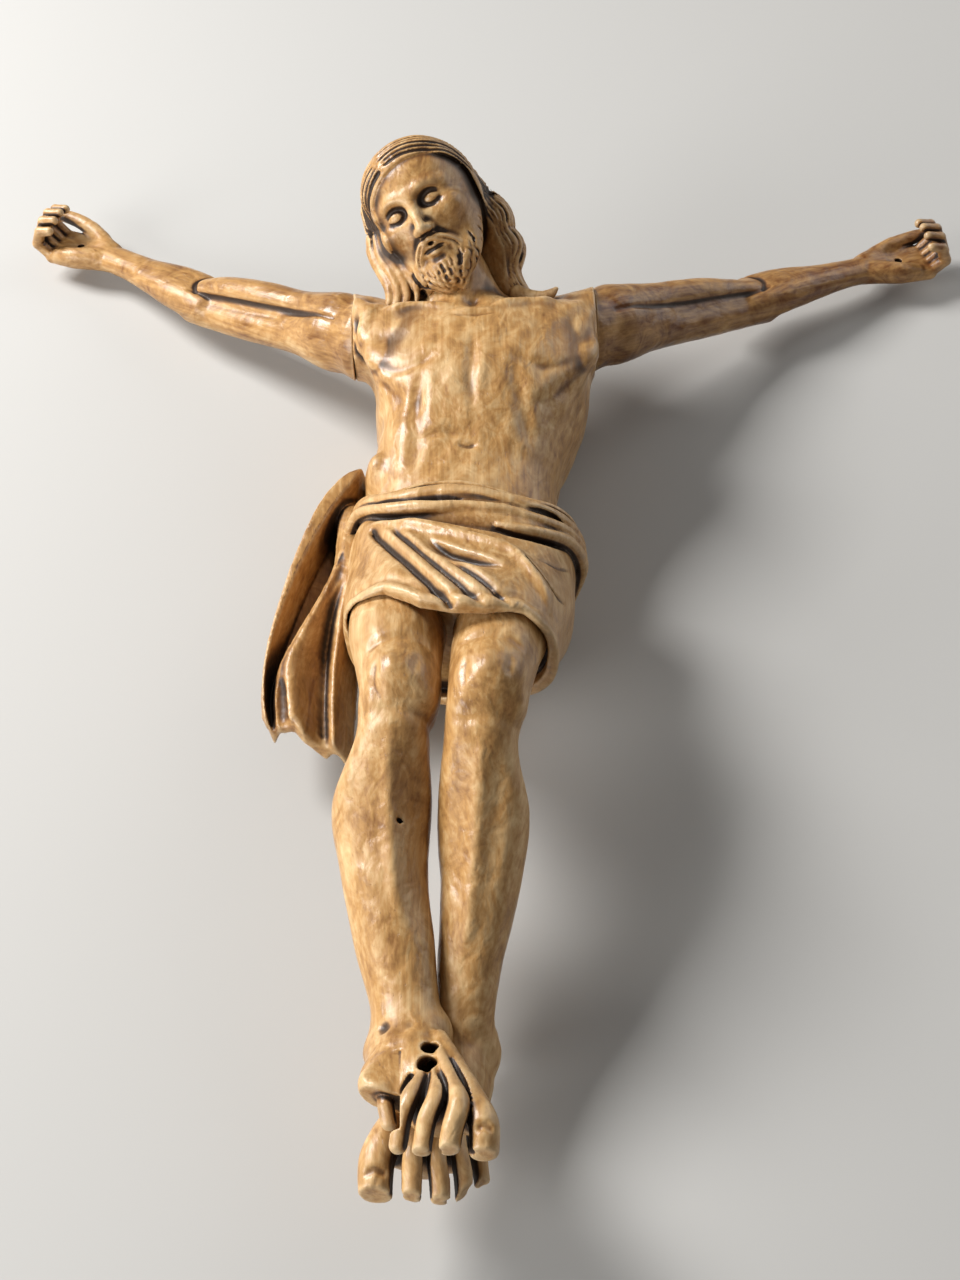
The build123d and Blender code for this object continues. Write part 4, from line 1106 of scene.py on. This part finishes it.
beard = dict(
    jaw=[(-15, -7, 1, 3.4), (-12.6, -16, 6.5, 4.6), (-8.4, -23.5, 11.5, 5.0), (0, -27.5, 14, 5.6),
     (8.4, -23.5, 11.5, 5.0), (12.6, -16, 6.5, 4.6), (15, -7, 1, 3.4)],
    # each row: height, half width, back, depth, clear middle and number of cuts
    rows=[
        (-6, 17, -2, 8, 0.82, 20), (-10, 16.6, 0, 9, 0.76, 20), (-13.6, 16, 1, 10, 0.68, 20),
        (-17, 15, 2, 12, 0.56, 20), (-20, 13.4, 4, 14.5, 0.36, 18), (-22.4, 11.6, 5, 15, 0, 16),
        (-25.4, 9.6, 6, 14.4, 0, 13), (-28, 7.6, 7, 13, 0, 10), (-30.4, 5.2, 8, 11, 0, 7),
    ],
    tuft=[(1.8, -0.9), (3.8, -0.5), (5.2, 0.9)],  # run and bend of each cut
)


def veined(block, points, radius, fade=0.15):
    # a narrow rounded cut along a line on the surface, running out at both ends
    line = faded(laid(block, curve(points, 0.8)), radius, 1.0, fade)
    rods(block, np.column_stack([line[:, :3], radius * line[:, 4]]), cutting=True, blend=0.25)


def carveBeard(block):
    rods(block, curve(beard["jaw"]), blend=2.4)
    for s in (-1, 1):
        point = [(s * 2.4, -26, 15, 3.4), (s * 3, -30, 14.4, 3.2), (s * 2, -33.6, 13.4, 1.4)]
        rods(block, curve(point), blend=1.6)
    draw = np.random.default_rng(5)
    cuts = []
    for row, (high, wide, back, depth, clear, count) in enumerate(beard["rows"]):
        for i in range(count):
            t = -1 + 2 * (i + 0.5 * (row % 2)) / (count - 0.5) + draw.uniform(-0.03, 0.03)
            if abs(t) < clear:
                continue
            a = 1.45 * t
            start = np.array((wide * math.sin(a), high + draw.uniform(-0.6, 0.6), back + depth * math.cos(a)))
            down = unit((-0.3 * math.sin(a), -1, 0.15 * math.cos(a)))
            side = np.array((math.cos(a), 0, -math.sin(a))) * (1 if t < 0 else -1) * draw.uniform(0.4, 1.2)
            tuft = [start] + [start + run * down + bend * side for run, bend in beard["tuft"]]
            cuts.append((tuft, draw.uniform(0.7, 1.15)))
    for line, deep in cuts:
        veined(block, line, 0.65 * deep, 0.3)
    # moustache that falls past the corners of the mouth
    for s in (-1, 1):
        sweep = [(s * 0.6, -13.8, 20.6, 0.8), (s * 3.6, -14.8, 19.8, 1.5), (s * 6.8, -17.6, 17.4, 1.6),
                 (s * 8.4, -21, 15.4, 1.2), (s * 9, -24.5, 13.6, 0.6)]
        rods(block, curve(sweep, 0.8), blend=1.6)
        for k in range(2):
            hair = [(s * (2.2 + 0.5 * k), -14.3 - 0.7 * k, 22), (s * (4 + 0.7 * k), -15.0 - 0.8 * k, 21.5),
                    (s * (7.2 + 0.5 * k), -18 - 0.6 * k, 19), (s * (8.8 + 0.4 * k), -22, 17)]
            veined(block, hair, 0.4)


def combed(block, family, seed):
    # cuts between the strands, from the front line of a family over its middle to its back
    draw = np.random.default_rng(seed)
    front, middle, back = (turned(family[k]) for k in ("front", "middle", "back"))
    ahead, behind = family["counts"]
    lines = [front + (middle - front) * (i + 0.2) / ahead for i in range(ahead)]
    lines += [middle + (back - middle) * (i + 0.5) / behind for i in range(behind)]
    centre = np.array(head["skull"][0])
    for i, line in enumerate(lines):
        line = line + draw.uniform(-0.4, 0.4, line.shape)
        onSkull = ease((line[:, 1:2] + 8) / 6)
        reach = np.linalg.norm((line - centre) / head["skull"][1], axis=1)[:, None]
        line = line + onSkull * (line - centre) * (1.2 / reach - 1)
        if i % 2:
            line = line[:int(len(line) * draw.uniform(0.6, 0.9))]
        deep = draw.uniform(0.85, 1.1) if i % 2 == 0 else draw.uniform(0.6, 0.8)
        strand = faded(laid(block, curve(line, 0.8)), deep, 1.0, 0.04)
        size = deep * strand[:, 4] * (0.6 + 0.4 * ease((strand[:, 1] + 8) / 6))
        rods(block, np.column_stack([strand[:, :3], size]), cutting=True, blend=0.25)


def carveHair(block):
    # a layer on the skull that ends at the hairline, and the masses that hang from it
    cut, x, y, z = whole(block)
    t = math.radians(head["turn"])
    across = x * math.cos(t) - z * math.sin(t)
    forward = x * math.sin(t) + z * math.cos(t)
    middle, high, wide, tall = head["hairline"]
    arch = np.sqrt(((across - middle) / wide) ** 2 + (np.maximum(y - high, 0) / tall) ** 2)
    face = np.minimum((1 - arch) * 17, forward + 7)
    full = np.maximum(ease((arch - 1) * 17 / 6), ease((across - 8) / 8))
    layer = -meet(head["hairThick"] * (0.35 + 0.65 * full) - block["field"], -face, 1.0)
    layer = -meet(-layer, y + 15, 3)
    join(block, cut, layer, 0.5)
    for mass in hairMasses:
        rods(block, curve(turned(mass)), blend=3)
    combed(block, napeHair, 12)
    combed(block, templeHair, 9)
    combed(block, crownHair, 8)
    for tip in hairTips:
        rods(block, curve(turned(tip), 0.8), blend=0.5)


def carveHead():
    block = newBlock(head["low"], head["high"], head["cell"])
    carveFace(block)
    carveHair(block)
    carveBeard(block)
    gouge(block, 41, 7, 0.06)
    return meshOf(block, "headCarving", place=(headAxes(), np.array(head["middle"], float)))


carved = {
    "figure": [carveTorso(), carveHead(), carveLoincloth(), carveLeg(rightLeg), carveLeg(leftLeg)],
    "right_arm": [carveArm(rightArm)],
    "left_arm": [carveArm(leftArm)],
    "loincloth_end": [carveLoinclothEnd()],
}


def linear(*rgb):
    # a colour as seen on screen, 0 to 255, as the light values that nodes use
    v = np.array(rgb, float) / 255
    return (*np.where(v <= 0.04045, v / 12.92, ((v + 0.055) / 1.055) ** 2.4).tolist(), 1.0)


def newMaterial(name):
    material = bpy.data.materials.new(name)
    material.use_nodes = True
    return material, material.node_tree, material.node_tree.nodes["Principled BSDF"]


def addNode(tree, kind, label, inputs=(), **settings):
    node = tree.nodes.new(kind)
    node.label = label
    for name, value in settings.items():
        setattr(node, name, value)
    for name, value in dict(inputs).items():
        node.inputs[name].default_value = value
    return node


def scaledNoise(tree, source, label, scale, detail, distortion=0.0, roughness=0.55):
    # noise on the grain, squeezed by its own scale along each axis
    stretch = addNode(tree, "ShaderNodeMapping", label + " scale", {"Scale": scale})
    noise = addNode(tree, "ShaderNodeTexNoise", label, {
        "Scale": 1.0, "Detail": detail, "Roughness": roughness, "Distortion": distortion,
    })
    tree.links.new(source, stretch.inputs["Vector"])
    tree.links.new(stretch.outputs["Vector"], noise.inputs["Vector"])
    return noise.outputs["Fac"]


def maths(tree, operation, a, b, label):
    node = addNode(tree, "ShaderNodeMath", label, operation=operation)
    for socket, value in zip(node.inputs, (a, b)):
        if isinstance(value, (int, float)):
            socket.default_value = value
        else:
            tree.links.new(value, socket)
    return node.outputs[0]


def spread(tree, value, low, high, label, start=0.0, end=1.0):
    # stretches a range of values to another, held at its ends
    limits = {"From Min": low, "From Max": high, "To Min": start, "To Max": end}
    node = addNode(tree, "ShaderNodeMapRange", label, limits, clamp=True, interpolation_type="SMOOTHSTEP")
    tree.links.new(value, node.inputs["Value"])
    return node.outputs["Result"]


def ramp(tree, value, stops, label):
    node = addNode(tree, "ShaderNodeValToRGB", label)
    while len(node.color_ramp.elements) < len(stops):
        node.color_ramp.elements.new(0.5)
    for element, (place, colour) in zip(node.color_ramp.elements, stops):
        element.position = place
        element.color = colour
    tree.links.new(value, node.inputs["Fac"])
    return node.outputs["Color"]


def mixColour(tree, share, below, above, label):
    node = addNode(tree, "ShaderNodeMix", label, data_type="RGBA")
    sockets = [s for s in node.inputs if s.enabled]
    for socket, value in zip(sockets, (share, below, above)):
        if isinstance(value, (int, float, tuple)):
            socket.default_value = value
        else:
            tree.links.new(value, socket)
    return [s for s in node.outputs if s.enabled][0]


def addBump(tree, height, shader, strength, distance):
    bump = addNode(tree, "ShaderNodeBump", "bump", {"Strength": strength, "Distance": distance})
    tree.links.new(height, bump.inputs["Height"])
    tree.links.new(bump.outputs["Normal"], shader.inputs["Normal"])


fruitwood = dict(
    light=linear(224, 192, 142), honey=linear(178, 134, 80), brown=linear(104, 60, 25),
    stainAndShade=linear(36, 21, 10), wax=linear(236, 210, 166),
    # scale on the grain, detail, distortion and roughness of each noise
    noises=dict(
        fibre=((900, 20, 900), 5, 0.2),
        streak=((210, 12, 210), 4, 0.4),
        lines=((680, 7, 680), 3, 0.25),
        mottle=((42, 20, 42), 4, 1.2),
        flame=((95, 60, 95), 5, 2.6, 0.6),
        pores=((2600, 120, 2600), 2),
        facets=((190, 130, 190), 1.5, 0.6),
    ),
    tone=dict(mottle=0.22, flame=0.32, streak=0.17, lines=0.13, fibre=0.14),  # share of each noise
    stops=dict(brown=0.28, honey=0.43, light=0.6),
    # how strongly the closed-in measure (pit) darkens the wood: painted shade in hollows and under overhangs
    paintedShadeShare=2.4,
    # how hollow a place is where each begins, where it is full, and how much it covers; brown and stain
    # darken hollows partly as patina and partly as painted shade, wax lightens the crests
    wearAndShade=dict(brown=(0.08, 0.6, 0.6), stainAndShade=(0.3, 1.0, 0.94), wax=(-0.1, -0.7, 0.4)),
    gloss=(0.3, 0.46), coat=0.14, coatRoughness=0.28,
)


def waxedWood(name, shift):
    f = fruitwood
    material, tree, shader = newMaterial(name)
    labels = ("grain", "hollow", "pit")
    onPoints = {k: addNode(tree, "ShaderNodeAttribute", k, attribute_name=k) for k in labels}
    grain = onPoints["grain"].outputs["Vector"]
    noise = {k: scaledNoise(tree, grain, k, *how) for k, how in f["noises"].items()}
    # tone of the wood: broad patches, wavy figure and lengthwise streaks
    shares = [maths(tree, "MULTIPLY", noise[k], share, k + " share") for k, share in f["tone"].items()]
    tone = shares[0]
    for share in shares[1:]:
        tone = maths(tree, "ADD", tone, share, "tone")
    colour = ramp(tree, tone, [(place + shift, f[k]) for k, place in f["stops"].items()], "wood tones")
    dots = spread(tree, noise["pores"], 0.66, 0.76, "pore mask", 0, 0.4)
    colour = mixColour(tree, dots, colour, f["brown"], "pores")
    # old stain in the hollows mixed with painted shade where the wood is closed in, rubbed wax on the crests
    patchy = maths(tree, "SUBTRACT", noise["mottle"], 0.5, "patch offset")
    patchy = maths(tree, "MULTIPLY", patchy, 0.45, "patchy edge")
    patinaAndShade = maths(tree, "ADD", onPoints["hollow"].outputs["Fac"], patchy, "worn hollow")
    # painted shade: the closed-in measure adds to the darkening, as ambient shade in the hollows would
    pit = maths(tree, "MULTIPLY", onPoints["pit"].outputs["Fac"], f["paintedShadeShare"], "pit share")
    patinaAndShade = maths(tree, "ADD", patinaAndShade, pit, "sheltered hollow")
    masks = {}
    for k, (begins, full, cover) in f["wearAndShade"].items():
        masks[k] = spread(tree, patinaAndShade, begins, full, k + " mask", 0, cover)
        colour = mixColour(tree, masks[k], colour, f[k], k)
    tree.links.new(colour, shader.inputs["Base Color"])
    gloss = spread(tree, noise["mottle"], 0.35, 0.65, "gloss", *f["gloss"])
    dull = maths(tree, "MULTIPLY", masks["stainAndShade"], 0.25, "dull hollows")
    tree.links.new(maths(tree, "ADD", gloss, dull, "roughness"), shader.inputs["Roughness"])
    shader.inputs["Specular IOR Level"].default_value = 0.4
    shader.inputs["Coat Weight"].default_value = f["coat"]
    shader.inputs["Coat Roughness"].default_value = f["coatRoughness"]
    # fibres, figure, facets of the gouge and pores
    height = maths(tree, "ADD", maths(tree, "MULTIPLY", noise["fibre"], 0.14, "fibre height"),
                   maths(tree, "MULTIPLY", noise["flame"], 0.2, "figure height"), "fine height")
    height = maths(tree, "ADD", height, noise["facets"], "with facets")
    height = maths(tree, "SUBTRACT", height, maths(tree, "MULTIPLY", dots, 0.3, "pore depth"), "with pores")
    addBump(tree, height, shader, 0.5, 0.0014)
    return material


beech = dict(light=linear(205, 170, 122), dark=linear(158, 116, 74), fleck=linear(112, 76, 46))


def dowelWood():
    # split beech, with its grain across the figure, as the dowels and pegs lie
    material, tree, shader = newMaterial("beechDowel")
    place = addNode(tree, "ShaderNodeTexCoord", "place").outputs["Object"]
    streak = scaledNoise(tree, place, "streak", (60, 900, 900), 4, 0.3)
    fleck = scaledNoise(tree, place, "fleck", (500, 2600, 2600), 1)
    colour = ramp(tree, streak, [(0.34, beech["dark"]), (0.64, beech["light"])], "beech tones")
    spots = spread(tree, fleck, 0.62, 0.74, "fleck mask", 0, 0.6)
    colour = mixColour(tree, spots, colour, beech["fleck"], "flecks")
    tree.links.new(colour, shader.inputs["Base Color"])
    tree.links.new(spread(tree, streak, 0.3, 0.7, "dry surface", 0.55, 0.72), shader.inputs["Roughness"])
    addBump(tree, streak, shader, 0.4, 0.0003)
    return material


dowel = dowelWood()
for name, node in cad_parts.items():
    if name not in carved:
        for holder in node.material_slots:
            holder.material = dowel
        print("dowel wood on", name, len(node.material_slots))
# the arms and the hanging end are of other blocks than the figure, a little browner; the left arm is darkest,
# partly browner wood and partly painted shade of an arm that lies in shade
woods = {
    "figure": waxedWood("waxedFruitwood", 0.045), "right_arm": waxedWood("waxedFruitwoodArm", 0.08),
    "left_arm": waxedWood("waxedFruitwoodBrownAndShade", 0.13), "loincloth_end": waxedWood("waxedFruitwoodEnd", 0.07),
}
for node, pieces in carved.items():
    for piece in pieces:
        piece.data.materials.append(woods[node])
        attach(piece, "root")
        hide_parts(node)
    print("waxed", node, len(pieces))

view = dict(place=(0.0052, -0.4498, 0.4967), down=48.04, roll=-1.14, film=36, lens=36 * 1922 / 1280)
camera = bpy.data.cameras.new("camera")
camera.sensor_fit = "VERTICAL"
camera.sensor_height = view["film"]
camera.lens = view["lens"]
eye = bpy.data.objects.new("camera", camera)
bpy.context.scene.collection.objects.link(eye)
eye.location = view["place"]
eye.rotation_euler = (math.radians(90 - view["down"]), 0, 0)
eye.rotation_euler.rotate_axis("Z", math.radians(view["roll"]))
bpy.context.scene.camera = eye

paperFloor = dict(half=3, colour=linear(188, 186, 182), roughness=0.9)
paper, _, paperShader = newMaterial("floorPaper")
paperShader.inputs["Base Color"].default_value = paperFloor["colour"]
paperShader.inputs["Roughness"].default_value = paperFloor["roughness"]
half = paperFloor["half"]
corners = [(-half, -half, 0), (half, -half, 0), (half, half, 0), (-half, half, 0)]
floorMesh = bpy.data.meshes.new("floor")
floorMesh.from_pydata(corners, [], [(0, 1, 2, 3)])
floorMesh.materials.append(paper)
floor = bpy.data.objects.new("floor", floorMesh)
bpy.context.scene.collection.objects.link(floor)

# a large window high on the left beyond the head, a soft fill from the right and a little from the feet
lamps = dict(
    window=dict(place=(-0.9, 0.5, 0.85), size=0.5, energy=24),
    fill=dict(place=(0.8, 0.6, 0.5), size=0.9, energy=3.4),
    feet=dict(place=(-0.95, -0.6, 0.42), size=0.6, energy=11),
)
for name, lamp in lamps.items():
    light = bpy.data.lights.new(name, "AREA")
    light.energy = lamp["energy"]
    light.size = lamp["size"]
    holder = bpy.data.objects.new(name, light)
    holder.location = lamp["place"]
    holder.rotation_euler = Vector(lamp["place"]).to_track_quat("Z", "Y").to_euler()
    bpy.context.scene.collection.objects.link(holder)
world = bpy.data.worlds.new("studio")
world.use_nodes = True
world.node_tree.nodes["Background"].inputs["Color"].default_value = (1, 1, 1, 1)
world.node_tree.nodes["Background"].inputs["Strength"].default_value = 0.15
bpy.context.scene.world = world
bpy.context.scene.view_settings.view_transform = "Standard"
print("camera, floor and lamps set:", *lamps)
